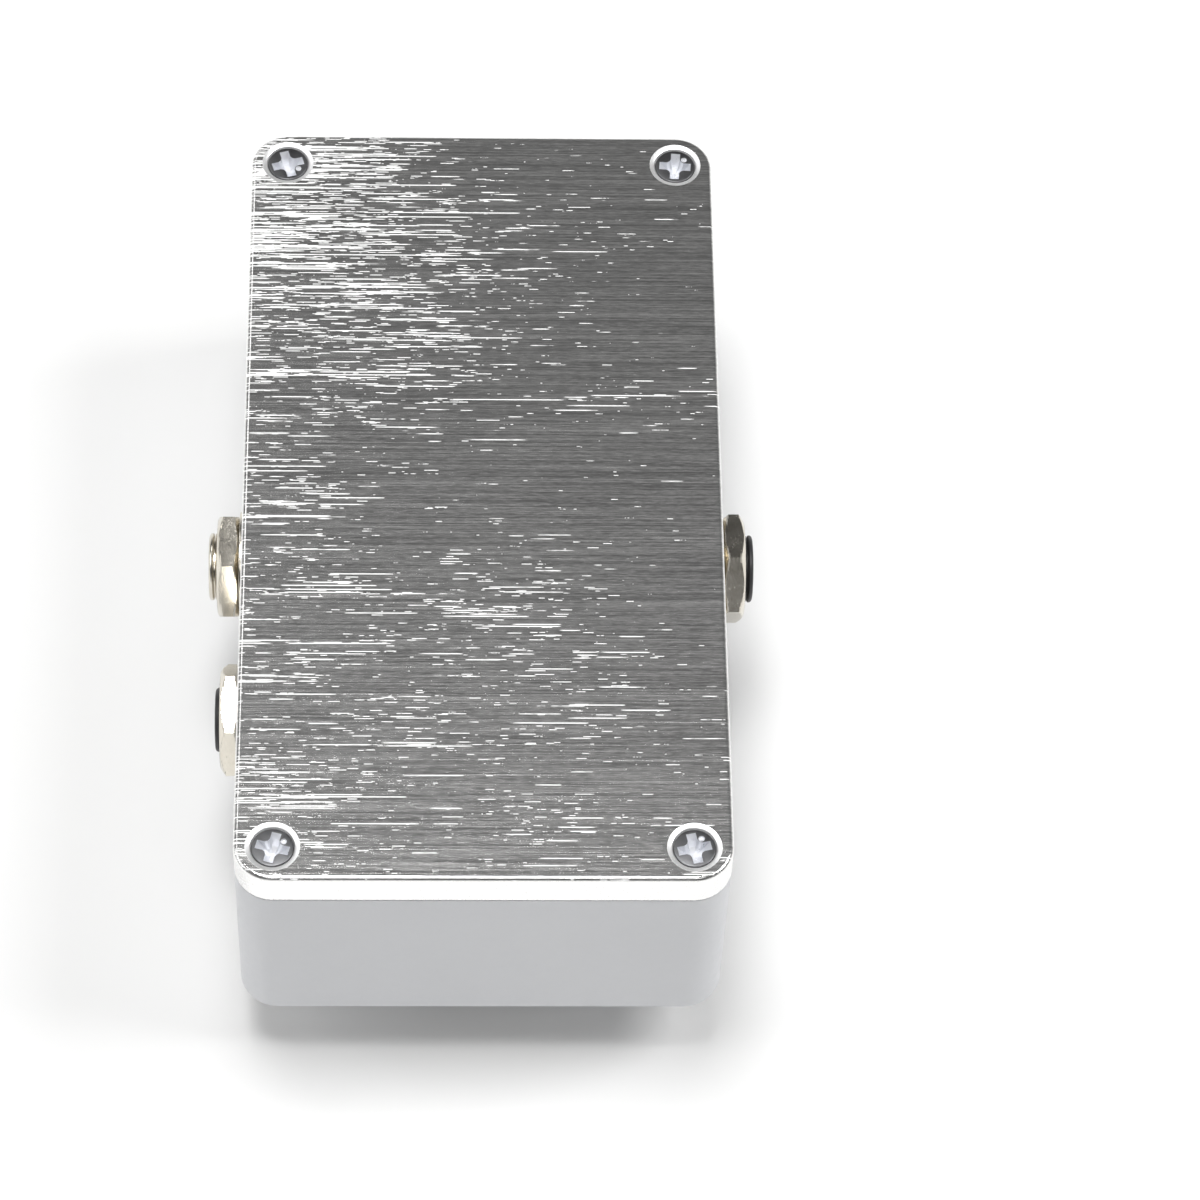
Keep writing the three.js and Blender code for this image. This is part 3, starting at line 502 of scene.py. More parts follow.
def brushed_aluminium():
    """Bare sheet brushed along X: scratches painted as white highlights over a fine dark grain, the
    painted highlights denser to the left and at the far left corner.
    """
    finish = Finish("brushed_aluminium")
    grain = finish.rows(9000, 45, 2.0)
    lines = finish.rows(5200, 24, 3.0)
    ripple = finish.noise((24, 4200, 4200), 3.0, 0.6)
    strokes = finish.maths("MAXIMUM", finish.rows(6400, 62, 4.0), finish.rows(8600, 280, 4.0))
    patches = finish.noise((30, 90, 30), 2.0, 0.5)
    place = finish.node("ShaderNodeSeparateXYZ", finish.position)
    # Where the painted scratch highlights lie closer together: to the left, in the far left corner,
    # and near.
    sideways = finish.remap(place.outputs[0], -0.033, 0.033, 0.055, -0.008)
    corner = finish.remap(place.outputs[0], -0.022, 0.004, 0.076, 0.0)
    corner = finish.maths("MULTIPLY", corner, finish.remap(place.outputs[1], -0.005, 0.042))
    near = finish.remap(place.outputs[1], -0.055, 0.0, 0.014, 0.0)
    painted_glint_bias = finish.maths("ADD", finish.maths("ADD", sideways, near), corner)
    # Painted highlights: this bias lowers the threshold so more white glints are painted to the
    # left, in the far left corner and near.
    limit = finish.maths("SUBTRACT", finish.remap(patches, 0.35, 0.65, 0.715, 0.65), painted_glint_bias)
    painted_glints = finish.remap(finish.maths("SUBTRACT", strokes, limit), 0.0, 0.03)
    soft_lines = finish.maths("MULTIPLY", lines, 0.4)
    specks = finish.maths("MULTIPLY_ADD", finish.rows(9700, 700, 2.0), 0.6, soft_lines)
    tone = finish.maths("MULTIPLY_ADD", grain, 0.4, finish.maths("MULTIPLY", specks, 0.6))
    level = finish.remap(tone, 0.41, 0.59)
    base = finish.mix(level, (0.50, 0.50, 0.495), (0.86, 0.855, 0.845))
    # Painted highlights: the scratches are near-white in the base colour and almost not metallic,
    # so they stay white from every side.
    finish.set("Base Color", finish.mix(painted_glints, base, (0.98, 0.98, 0.975)))
    finish.set("Metallic", finish.remap(painted_glints, 0.0, 1.0, 0.925, 0.05))
    smooth = finish.remap(tone, 0.35, 0.65, 0.15, 0.23)
    roughness = finish.node("ShaderNodeMapRange", painted_glints, 0.0, 1.0, smooth, 0.46)
    finish.set("Roughness", roughness.outputs[0])
    finish.bump(ripple, 0.2, 0.00006)
    return finish.material


def powder_coat():
    """Pale powder coat with orange peel and a few darker specks."""
    finish = Finish("white_powder_coat", roughness=0.42)
    peel = finish.noise((950, 950, 950), 2.0, 0.5)
    cloud = finish.noise((40, 40, 40), 3.0, 0.5)
    specks = finish.remap(finish.noise((5200, 5200, 5200), 1.0, 0.5), 0.66, 0.74)
    tint = finish.mix(cloud, (0.620, 0.628, 0.650), (0.665, 0.672, 0.692))
    faint = finish.maths("MULTIPLY", specks, 0.25)
    finish.set("Base Color", finish.mix(faint, tint, (0.6, 0.6, 0.6)))
    finish.set("Roughness", finish.remap(peel, 0.3, 0.7, 0.36, 0.5))
    finish.bump(peel, 0.18, 0.00006)
    return finish.material


def plated(name, dark, light, roughness=(0.14, 0.3), scratch=0.35, metallic=1.0):
    """Plated or cut metal with smudges and fine scratches."""
    finish = Finish(name, metallic=metallic)
    smudge = finish.noise((260, 260, 260), 4.0, 0.6)
    fine = finish.noise((3600, 3600, 900), 2.0, 0.5)
    finish.set("Base Color", finish.mix(smudge, dark, light))
    worn = finish.maths("MULTIPLY_ADD", fine, 0.5, finish.maths("MULTIPLY", smudge, 0.5))
    finish.set("Roughness", finish.remap(worn, 0.3, 0.7, roughness[0], roughness[1]))
    finish.bump(fine, scratch * 0.3, 0.00002)
    return finish.material


def moulded(name, dark, light, roughness=(0.38, 0.55), grain=2600, relief=0.12):
    """Moulded plastic with a fine grain."""
    finish = Finish(name)
    texture = finish.noise((grain, grain, grain), 2.0, 0.6)
    cloud = finish.noise((150, 150, 150), 3.0, 0.5)
    finish.set("Base Color", finish.mix(cloud, dark, light))
    finish.set("Roughness", finish.remap(texture, 0.3, 0.7, roughness[0], roughness[1]))
    finish.bump(texture, relief, 0.00003)
    return finish.material


def layered(name, dark, light, spacing, metallic=0.0):
    """Stacked layers, as in laminations, fibre board or a winding."""
    finish = Finish(name, metallic=metallic, roughness=0.5)
    layers = finish.noise((200, spacing, 200), 1.0, 0.4)
    edge = finish.remap(layers, 0.4, 0.6)
    finish.set("Base Color", finish.mix(edge, dark, light))
    finish.set("Roughness", finish.remap(layers, 0.3, 0.7, 0.4, 0.62))
    finish.bump(edge, 0.2, 0.00005)
    return finish.material


def circuit_resin():
    """Green solder mask over copper tracks."""
    finish = Finish("board_resin")
    cells = finish.node("ShaderNodeTexVoronoi", feature="DISTANCE_TO_EDGE", distance="CHEBYCHEV")
    finish.tree.links.new(finish.scaled((330, 330, 330)), cells.inputs["Vector"])
    cells.inputs["Scale"].default_value = 1.0
    tracks = finish.remap(cells.outputs["Distance"], 0.05, 0.09, 1.0, 0.0)
    finish.set("Base Color", finish.mix(tracks, (0.012, 0.11, 0.05), (0.03, 0.22, 0.10)))
    finish.set("Roughness", finish.remap(finish.noise((900, 900, 900)), 0.3, 0.7, 0.22, 0.36))
    finish.bump(tracks, 0.25, 0.00004)
    return finish.material


def clear_lens():
    """The pale plastic lens of the status light."""
    finish = Finish("light_lens", roughness=0.06)
    haze = finish.noise((700, 700, 700), 2.0, 0.5)
    finish.set("Base Color", finish.mix(haze, (0.70, 0.80, 0.97), (0.84, 0.90, 1.0)))
    finish.set("Roughness", finish.remap(haze, 0.3, 0.7, 0.04, 0.1))
    finish.set("Transmission Weight", 0.55)
    finish.set("IOR", 1.5)
    return finish.material


MATERIALS = {
    "white_powder_coat": powder_coat(),
    "brushed_aluminium": brushed_aluminium(),
    "nickel_plate": plated("nickel_plate", (0.62, 0.58, 0.50), (0.80, 0.76, 0.68)),
    "zinc_steel": plated("zinc_steel", (0.10, 0.102, 0.106), (0.19, 0.19, 0.195), (0.26, 0.44)),
    "spring_steel": plated("spring_steel", (0.42, 0.41, 0.38), (0.62, 0.60, 0.56)),
    "contact_metal": plated("contact_metal", (0.70, 0.67, 0.58), (0.86, 0.83, 0.75)),
    "black_plastic": moulded("black_plastic", (0.010, 0.010, 0.011), (0.022, 0.022, 0.024)),
    "knob_plastic": moulded(
        "knob_plastic", (0.012, 0.012, 0.013), (0.026, 0.026, 0.03), (0.3, 0.42)
    ),
    "phenolic": layered("phenolic", (0.20, 0.10, 0.045), (0.34, 0.19, 0.09), 2600),
    "laminated_steel": layered(
        "laminated_steel", (0.12, 0.12, 0.125), (0.38, 0.38, 0.4), 2800, 1.0
    ),
    "winding_tape": layered("winding_tape", (0.60, 0.40, 0.07), (0.80, 0.58, 0.16), 700),
    "wire_jacket": moulded("wire_jacket", (0.42, 0.04, 0.03), (0.55, 0.07, 0.05), (0.35, 0.5)),
    "capacitor_sleeve": moulded(
        "capacitor_sleeve", (0.02, 0.03, 0.11), (0.04, 0.055, 0.17), (0.25, 0.4)
    ),
    "board_resin": circuit_resin(),
    "light_lens": clear_lens(),
}
CUT_METAL = plated("cut_metal", (0.86, 0.86, 0.86), (0.98, 0.98, 0.98), (0.3, 0.5), 0.8, 0.8)
EDGE_METAL = plated("edge_metal", (0.90, 0.895, 0.885), (0.98, 0.975, 0.965), (0.22, 0.34))
# Painted highlight: a pale, partly diffuse colour for the inside of each screw's cross recess,
# lighter than the dark head.
RECESS_PAINTED_HIGHLIGHT = plated(
    "recess_painted_highlight", (0.62, 0.63, 0.67), (0.92, 0.93, 0.95), (0.25, 0.45), metallic=0.6
)
POINTER_PAINT = moulded(
    "pointer_paint", (0.74, 0.74, 0.72), (0.86, 0.86, 0.84), (0.4, 0.55), 1500
)

# ---------------- case and lid

HALF_X = (CASE_HIGH.x - CASE_LOW.x) / 2
HALF_Y = (CASE_HIGH.y - CASE_LOW.y) / 2
CASE_PLACE = Matrix.Translation((CASE_MIDDLE.x, CASE_MIDDLE.y, 0))
# How far each lid screw is turned, and which quarter between its wings has the punched dot.
SCREW_TURNS = {"far_left": 16, "far_right": -4, "near_left": -14, "near_right": 12}
SCREW_DOTS = {"far_left": 1, "far_right": 2, "near_left": 2, "near_right": 2}


def screw_axis(corner):
    low, high = box_mm("lid_screw_" + corner)
    middle = (low + high) / 2 - CASE_MIDDLE
    return middle.x, middle.y


SCREW_AXES = [screw_axis(corner) for corner in SCREW_TURNS]

LEFT_JACK = panel("input_jack_washer", LEFT, UP)
RIGHT_JACK = panel("thru_jack_washer", RIGHT, UP)
DC_PLACE = panel("dc_jack_housing", LEFT, UP)
XLR_PLACE = panel("xlr_insulator", FAR, UP)
FOOT_PLACE = panel("footswitch_washer", DOWN, FAR)
LIGHT_PLACE = panel("status_light_bezel", DOWN, FAR)
CONTROL_PLACES = {name: panel(name + "_knob", DOWN, FAR) for name in ("gain", "level")}
SWITCH_PLACES = {name: panel(name + "_switch_nut", DOWN, FAR) for name in ("ground_lift", "pad")}
XLR_SCREWS = {name: panel("xlr_screw_" + name, FAR, UP) for name in ("upper", "lower")}


def wall_hole(radius, place):
    to_case = CASE_PLACE.inverted() @ place
    return transformed(rod(radius, -WALL - 2, 2), to_case)


def panel_holes():
    holes = [
        wall_hole(JACK_BARREL + HOLE_GAP, LEFT_JACK),
        wall_hole(JACK_BARREL + HOLE_GAP, RIGHT_JACK),
        wall_hole(DC_BARREL + HOLE_GAP, DC_PLACE),
        wall_hole(XLR_BARREL + 0.3, XLR_PLACE),
        wall_hole(FOOT_BARREL + HOLE_GAP, FOOT_PLACE),
        wall_hole(LIGHT_HOLE, LIGHT_PLACE),
    ]
    holes += [wall_hole(POT_BARREL + HOLE_GAP, place) for place in CONTROL_PLACES.values()]
    holes += [wall_hole(TOGGLE_BARREL + HOLE_GAP, place) for place in SWITCH_PLACES.values()]
    holes += [wall_hole(XLR_SCREW_HOLE, place) for place in XLR_SCREWS.values()]
    return together(*holes)


def make_case():
    levels = edge_levels(FACE_Z, FACE_EDGE, 1) + edge_levels(RIM_Z, 0.2, -1, 2)
    case = as_object("case_shell", block(HALF_X, HALF_Y, CORNER, levels))
    floor_z = FACE_Z + WALL
    cavity_levels = edge_levels(floor_z, 1.0, 1, 3) + [(RIM_Z + 1, 0)]
    combine(case, block(HALF_X - WALL, HALF_Y - WALL, CORNER - WALL, cavity_levels, 6))
    bosses = [rod(BOSS, FACE_Z + 1.2, RIM_Z - 0.02, x, y, 40) for x, y in SCREW_AXES]
    combine(case, together(*bosses), "UNION")
    pilot, pilot_end = SCREW_SHANK + HOLE_GAP, RIM_Z - PILOT_DEPTH
    pilots = [rod(pilot, pilot_end, RIM_Z + 1, x, y, 32) for x, y in SCREW_AXES]
    combine(case, together(panel_holes(), *pilots))
    settle(case, CASE_PLACE, "case", "white_powder_coat", "enclosure_body")


def lid_block(inset, bottom, top, steps=6):
    radius = max(CORNER - inset, 0.8)
    return block(HALF_X - inset, HALF_Y - inset, radius, [(bottom, 0), (top, 0)], steps)


def countersink(x, y):
    """The hole for a lid screw: a cone under the head, and a shallow polished ring round it."""
    bottom = RIM_Z - 3
    seat = LID_TOP - SCREW_SUNK - 0.1
    shank = SCREW_SHANK + 0.3
    head = SCREW_HEAD + 0.1
    profile = [
        (0, bottom),
        (shank, bottom),
        (shank, seat - head + shank),
        (head, seat),
        (head + 0.04, seat + 0.16),
        (head + 0.26, LID_TOP - 0.11),
        (RING - 0.3, LID_TOP - 0.09),
        (RING - 0.12, LID_TOP - 0.03),
        (RING, LID_TOP + 0.001),
        (RING + 0.1, LID_TOP + 0.2),
        (0, LID_TOP + 0.2),
    ]
    return moved(turned(profile, 0, 72), x, y)


def polish_cuts(lid):
    """Gives the lid's sides, and the cut faces round each screw, their own bright materials."""
    lid.data.materials.append(CUT_METAL)
    lid.data.materials.append(EDGE_METAL)
    axes = [Vector((x, y)) + CASE_MIDDLE.xy for x, y in SCREW_AXES]
    for polygon in lid.data.polygons:
        centre = polygon.center / MM
        nearest = min((centre.xy - axis).length for axis in axes)
        if LID_TOP - 1.2 < centre.z < LID_TOP - 0.002 and nearest < RING:
            polygon.material_index = 1
        elif nearest > RING and centre.z < LID_TOP - LID_EDGE * 0.4:
            polygon.material_index = 2


def make_lid():
    underside = LID_TOP - LID_PLATE
    bottom = RIM_Z + 0.1
    levels = edge_levels(bottom, 0.15, 1, 2) + edge_levels(LID_TOP, LID_EDGE, -1, 8)
    lid = as_object("brushed_base_plate", block(HALF_X, HALF_Y, CORNER, levels, 12))
    combine(lid, lid_block(LID_RIM, bottom - 1, underside))
    lip = as_object("lip", lid_block(LID_LIP[0], LID_LOW.z, underside + 0.6))
    combine(lip, lid_block(LID_LIP[1], LID_LOW.z - 1, underside + 2))
    clear = [rod(BOSS + 0.4, LID_LOW.z - 1, bottom, x, y, 40) for x, y in SCREW_AXES]
    combine(lip, together(*clear))
    lip_points = [tuple(vertex.co) for vertex in lip.data.vertices]
    lip_faces = [tuple(polygon.vertices) for polygon in lip.data.polygons]
    bpy.data.objects.remove(lip)
    combine(lid, (lip_points, lip_faces), "UNION")
    bosses = [rod(BOSS, bottom + 0.01, underside + 1, x, y, 40) for x, y in SCREW_AXES]
    combine(lid, together(*bosses), "UNION")
    combine(lid, together(*[countersink(x, y) for x, y in SCREW_AXES]))
    settle(lid, CASE_PLACE, "case", "brushed_aluminium", "base_plate")
    polish_cuts(lid)


def make_lid_screw(corner):
    """A countersunk screw with a tapered cross recess, its head a little below the lid."""
    name = "lid_screw_" + corner
    low, high = box_mm(name)
    top = high.z
    cone_end = top - (SCREW_HEAD - SCREW_SHANK) - 0.25
    rings = round_rings([(0.9, low.z), (SCREW_SHANK - 0.2, low.z + 0.8)], 48)
    rings += thread_rings(SCREW_SHANK, low.z + 1, cone_end - 1.2, 0.8, 0.22, 48)
    rim = SCREW_HEAD - 0.12
    head = [(SCREW_SHANK, cone_end), (SCREW_HEAD, top - 0.25), (rim, top), (0.01, top)]
    rings += round_rings(filleted(head, 0.1, 3), 48)
    screw = as_object("screw_" + corner, skin(rings))
    combine(screw, turned_about_z(cross_recess(top, *SCREW_CROSS), SCREW_TURNS[corner]))
    dot_angle = math.radians(SCREW_TURNS[corner] + 45 + 90 * (SCREW_DOTS[corner] + 2))
    dot_radius = 1.72
    pit = [(0, top - 0.22), (0.26, top - 0.2), (0.42, top), (0.5, top + 0.3), (0, top + 0.3)]
    dot = turned(pit, 0, 24)
    combine(screw, moved(dot, dot_radius * math.cos(dot_angle), dot_radius * math.sin(dot_angle)))
    place = Matrix.Translation(((low.x + high.x) / 2, (low.y + high.y) / 2, 0))
    settle(screw, place, "case", "zinc_steel", name, sharp=25)
    # The faces of the cross recess get the pale painted highlight.
    screw.data.materials.append(RECESS_PAINTED_HIGHLIGHT)
    centre = Vector((place.translation.x, place.translation.y)) * MM
    for polygon in screw.data.polygons:
        off_axis = (polygon.center.xy - centre).length
        below = top * MM - polygon.center.z
        if 0.00002 < below < 0.0026 and off_axis < 0.0023 - below * 0.6:
            polygon.material_index = 1


# ---------------- jacks


def make_washer(name, node, place, inner, segments=72):
    low, high = reach(node, place)
    section = [(inner, low.z), (high.x, low.z), (high.x, high.z), (inner, high.z)]
    washer = as_object(name, turned(section, 0.18, segments))
    settle(washer, place, "case", "nickel_plate", node)


def make_nut(name, node, place, bore, turn, flats=None, per_side=12):
    low, high = reach(node, place)
    flats = flats or min(high.x - low.x, high.y - low.y)
    nut = as_object(name, hex_nut(flats, low.z, high.z, bore, turn, per_side))
    settle(nut, place, "case", "nickel_plate", node)


def make_jack(prefix, place, turn, slot):
    """An open-frame jack: a threaded bushing, its bracket, a washer and a nut."""
    low, high = reach(prefix + "_frame", place)
    plate_back = -WALL - 1.3
    end = high.z
    lip = 0.75
    thread_end = end - lip - 0.15
    start = [(JACK_BORE, plate_back), (JACK_BARREL, plate_back)]
    finish = [
        (JACK_BARREL - 0.45, thread_end + 0.02),
        (JACK_BARREL - 0.45, end - lip),
        (JACK_BARREL - 0.1, end - lip + 0.06),
        (JACK_BARREL + 0.05, end - lip + 0.25),
        (JACK_BARREL + 0.02, end - 0.28),
        (JACK_BARREL - 0.12, end - 0.1),
        (JACK_BARREL - 0.35, end),
        (JACK_BORE + 0.45, end),
        (JACK_BORE + 0.15, end - 0.1),
        (JACK_BORE, end - 0.4),
    ]
    thread = (JACK_BARREL, plate_back + 0.1, thread_end, JACK_THREAD_PITCH, 0.33)
    bushing = as_object(prefix + "_bushing", threaded_tube(start, thread, finish))
    settle(bushing, place, "case", slot)
    arm_base = high.y - 1.2
    plate = bar((low.x, low.y, plate_back), (high.x, high.y, -WALL - 0.1), 0.15)
    bracket = as_object(prefix + "_bracket", plate)
    arm_half = 5
    arm = bar((-arm_half, arm_base, low.z), (arm_half, high.y, plate_back + 0.6), 0.15)
    combine(bracket, arm, "UNION")
    combine(bracket, rod(JACK_BARREL + 0.01, plate_back - 1, 0))
    settle(bracket, place, "case", slot, prefix + "_frame")
    make_washer(prefix + "_flat_washer", prefix + "_washer", place, JACK_BARREL + 0.3)
    make_nut(prefix + "_hex_nut", prefix + "_nut", place, JACK_BARREL + NUT_GAP, turn, NUT_FLATS)


def make_power_jack():
    low, high = reach("dc_jack_housing", DC_PLACE)
    end = high.z
    bottom = -6.3
    body, shoulder_back = 5.6, -4
    start = [
        (DC_BORE, bottom),
        (0.01, bottom),
        (0.01, low.z),
        (body - 0.4, low.z),
        (body, low.z + 0.4),
        (body, shoulder_back),
        (high.x, shoulder_back),
        (high.x, -WALL - 0.1),
        (DC_BARREL, -WALL - 0.1),
    ]
    finish = [
        (DC_BARREL - 0.05, end - 0.4),
        (DC_BARREL - 0.2, end - 0.12),
        (DC_BARREL - 0.45, end),
        (DC_BORE + 0.55, end),
        (DC_BORE + 0.12, end - 0.12),
        (DC_BORE, end - 0.45),
    ]
    thread = (DC_BARREL, -WALL, end - 0.5, 0.6, 0.25)
    housing = as_object("power_socket", threaded_tube(start, thread, finish))
    combine(housing, rod(1.3, low.z - 1, bottom + 1, segments=24))
    settle(housing, DC_PLACE, "case", "black_plastic", "dc_jack_housing")
    make_nut("power_hex_nut", "dc_jack_nut", DC_PLACE, DC_BARREL + NUT_GAP, -13, NUT_FLATS)
    pin_low, pin_high = reach("dc_jack_centre_pin", DC_PLACE)
    pin_back, pin_top, pin_radius = -13.6, pin_high.z, 1.05
    profile = [(0, pin_back), (pin_radius, pin_back), (pin_radius, pin_top - 0.5)]
    profile += [(0.55, pin_top), (0, pin_top)]
    pin = as_object("power_pin", turned(profile, 0.25, 40))
    combine(pin, bar((-1.2, -0.3, pin_low.z), (1.2, 0.3, pin_back + 0.3), 0.1), "UNION")
    settle(pin, DC_PLACE, "case", "contact_metal", "dc_jack_centre_pin")


# ---------------- XLR output


def make_xlr_shell():
    low, high = reach("xlr_shell", XLR_PLACE)
    flange_top = 2.0
    seat = 10.2
    middle_x, middle_y = (low.x + high.x) / 2, (low.y + high.y) / 2
    half_x, half_y = (high.x - low.x) / 2, (high.y - low.y) / 2
    levels = [(0.1, 0.1), (0.2, 0)] + edge_levels(flange_top, 0.5, -1, 5)
    shell = as_object("xlr_housing", moved(block(half_x, half_y, 3, levels, 8), middle_x, middle_y))
    outline = [
        (XLR_SOCKET, -XLR_DEPTH),
        (seat, -XLR_DEPTH),
        (seat, low.z),
        (XLR_BARREL, low.z),
        (XLR_BARREL, 0.9),
        (XLR_COLLAR, 0.9),
        (XLR_COLLAR, flange_top + 0.35),
        (XLR_INSERT, high.z),
        (XLR_SOCKET + 0.8, high.z),
        (XLR_SOCKET, high.z - 0.8),
    ]
    combine(shell, rod(9.6, -1, flange_top + 1, segments=96))
    combine(shell, turned(outline, 0.22, 96), "UNION")
    for place in XLR_SCREWS.values():
        offset = (XLR_PLACE.inverted() @ place).translation
        profile = [(0, -1), (XLR_SCREW_HOLE, -1), (XLR_SCREW_HOLE, flange_top - 1.2)]
        profile += [(3.0, flange_top + 0.05), (3.0, 4), (0, 4)]
        combine(shell, moved(turned(profile, 0, 48), offset.x, offset.y))
    settle(shell, XLR_PLACE, "case", "nickel_plate", "xlr_shell")


def make_xlr_insides():
    low, high = reach("xlr_insulator", XLR_PLACE)
    outline = [(0, low.z), (XLR_INSERT, low.z), (XLR_INSERT, high.z), (0, high.z)]
    disc = as_object("xlr_insert", turned(outline, 0.4, 96))
    pins = {}
    for number in (1, 2, 3):
        pin_low, pin_high = reach(f"xlr_pin_{number}", XLR_PLACE)
        x, y = (pin_low.x + pin_high.x) / 2, (pin_low.y + pin_high.y) / 2
        pins[number] = x, y, pin_low.z, pin_high.z
    hole = 1.35
    holes = [rod(hole, low.z - 1, high.z + 1, x, y, 32) for x, y, _, _ in pins.values()]
    combine(disc, together(*holes))
    combine(disc, bar((-1.4, 6.4, high.z - 1), (1.4, 9.4, high.z + 0.1), 0.2), "UNION")
    settle(disc, XLR_PLACE, "case", "black_plastic", "xlr_insulator")
    radius = 1.2
    for number, (x, y, bottom, top) in pins.items():
        profile = [(0, bottom), (radius, bottom), (radius, top - 1.0)]
        profile += [(0.85, top - 0.25), (0.35, top), (0, top)]
        pin = as_object(f"xlr_contact_{number}", moved(turned(profile, 0.3, 40), x, y))
        combine(pin, rod(0.75, bottom - 1, bottom + 3, x, y, 24))
        settle(pin, XLR_PLACE, "case", "contact_metal", f"xlr_pin_{number}")


def make_xlr_screw(name, place):
    low, high = reach("xlr_screw_" + name, place)
    top = high.z
    shank = 1.45
    rings = round_rings([(0.8, low.z), (1.3, low.z + 0.6)], 40)
    rings += thread_rings(shank, low.z + 0.8, top - 1.4, 0.5, 0.16, 40)
    head = [(shank, top - 1.15), (2.6, top - 0.12), (2.45, top + 0.08), (0.01, top + 0.1)]
    rings += round_rings(filleted(head, 0.08, 3), 40)
    screw = as_object("xlr_flange_screw_" + name, skin(rings))
    recess = cross_recess(top + 0.1, *XLR_SCREW_CROSS)
    combine(screw, turned_about_z(recess, XLR_SCREW_TURNS[name]))
    settle(screw, place, "case", "zinc_steel", "xlr_screw_" + name, sharp=25)


# ---------------- controls


def knob_rings(base, tip, back, front):
    """A fluted skirt that ends in a dished front."""
    flutes = 20
    segments = flutes * 10

    def fluted(radius, depth):
        def radius_at(angle):
            wave = (0.5 - 0.5 * math.cos(flutes * angle)) ** 2.2
            return radius - depth * wave

        return radius_at

    skirt = back + 1.5
    hem = [(base - 0.3, back), (base, back + 0.3), (base, skirt)]
    rings = round_rings(filleted(hem, 0.2, 3), segments)
    steps = 10
    for i in range(steps + 1):
        t = i / steps
        height = skirt + 0.15 + (front - 0.8 - skirt) * t
        radius = base - 0.15 + (tip - base + 0.15) * t
        depth = 0.5 * min(1.0, t * 5, (1.06 - t) * 6)
        rings.append(ring_of(fluted(radius, depth), height, segments))
    crown = [(tip - 0.25, front - 0.25), (tip - 0.8, front), (tip - 1.6, front - 0.05)]
    crown += [(tip - 2.1, front - 0.35), (0.02, front - 0.45)]
    return rings + round_rings(crown, segments)


def make_knob(name, place):
    body = name + "_knob"
    low, high = reach(body, place)
    base, tip = high.x, high.x - 0.7
    back, front = low.z, high.z
    knob = as_object(name + "_fluted_knob", skin(knob_rings(base, tip, back, front)))
    step, end = back + 3.6, front - 1.2
    cutter = [(0, back - 1), (KNOB_HOLLOW, back - 1), (KNOB_HOLLOW, step)]
    cutter += [(KNOB_HUB, step), (KNOB_HUB, end), (0, end)]
    combine(knob, turned(cutter, 0, 64))
    settle(knob, place, body, "knob_plastic", body, sharp=28)
    line = bar((-0.35, tip - 5.2, front - 0.7), (0.35, tip - 1.55, front - 0.12), 0.08)
    pointer = as_object(name + "_pointer", line)
    settle(pointer, place, body, "knob_plastic", material=POINTER_PAINT)


def make_control(name, place):
    make_knob(name, place)
    make_nut(name + "_hex_nut", name + "_pot_nut", place, POT_BARREL + NUT_GAP, 8, per_side=8)


def make_switch(name, place):
    low, high = reach(name + "_switch_case", place)
    end = high.z
    bushing_bore = TOGGLE_BARREL - 0.7
    start = [
        (bushing_bore - 0.4, -1.2),
        (0.01, -1.2),
        (0.01, -WALL - 0.6),
        (TOGGLE_BARREL, -WALL - 0.6),
    ]
    finish = [
        (TOGGLE_BARREL - 0.1, end - 0.25),
        (TOGGLE_BARREL - 0.3, end),
        (bushing_bore + 0.1, end),
        (bushing_bore, end - 0.15),
        (bushing_bore - 0.4, 2.0),
    ]
    thread = (TOGGLE_BARREL, -WALL - 0.4, end - 0.4, 0.6, 0.25)
    bushing = as_object(name + "_bushing", threaded_tube(start, thread, finish, 56))
    settle(bushing, place, "case", "nickel_plate")
    case_top = -WALL - 0.1
    case_back = -11.4
    shape = bar((low.x, low.y, case_back), (high.x, high.y, case_top), 0.25)
    switch = as_object(name + "_switch_body", shape)
    combine(switch, rod(TOGGLE_BARREL, case_top - 0.7, case_top + 1))
    for x in (-4.7, 0, 4.7):
        combine(switch, bar((x - 0.4, -1, low.z), (x + 0.4, 1, case_back + 0.4), 0.1), "UNION")
    settle(switch, place, "case", "black_plastic", name + "_switch_case")
    node = name + "_switch_nut"
    make_nut(name + "_switch_hex", node, place, TOGGLE_BARREL + NUT_GAP, 17, per_side=8)
    make_lever(name, place)


def make_lever(name, place):
    """A bat lever on a ball, leaning to its rest stop."""
    ball, stem, tip, length, pivot, tilt = 1.7, 0.95, 1.45, 9.0, 0.8, 13
    neck = math.asin(stem / ball)
    profile = []
    steps = 10
    for i in range(steps + 1):
        angle = math.pi - (math.pi - neck) * i / steps
        profile.append((ball * math.sin(angle), ball * math.cos(angle)))
    profile += [(stem, 2.2), (stem + 0.1, 4.0), (tip - 0.02, length - tip - 0.6)]
    for i in range(steps + 1):
        angle = math.pi / 2 * (1 - i / steps)
        profile.append((tip * math.sin(angle), length - tip + tip * math.cos(angle)))
    lean = Matrix.Translation((0, 0, pivot)) @ Matrix.Rotation(math.radians(tilt), 4, "Y")
    lever = as_object(name + "_bat", transformed(turned(profile, 0, 40), lean))
    node = name + "_lever"
    settle(lever, place, node, "nickel_plate", node)


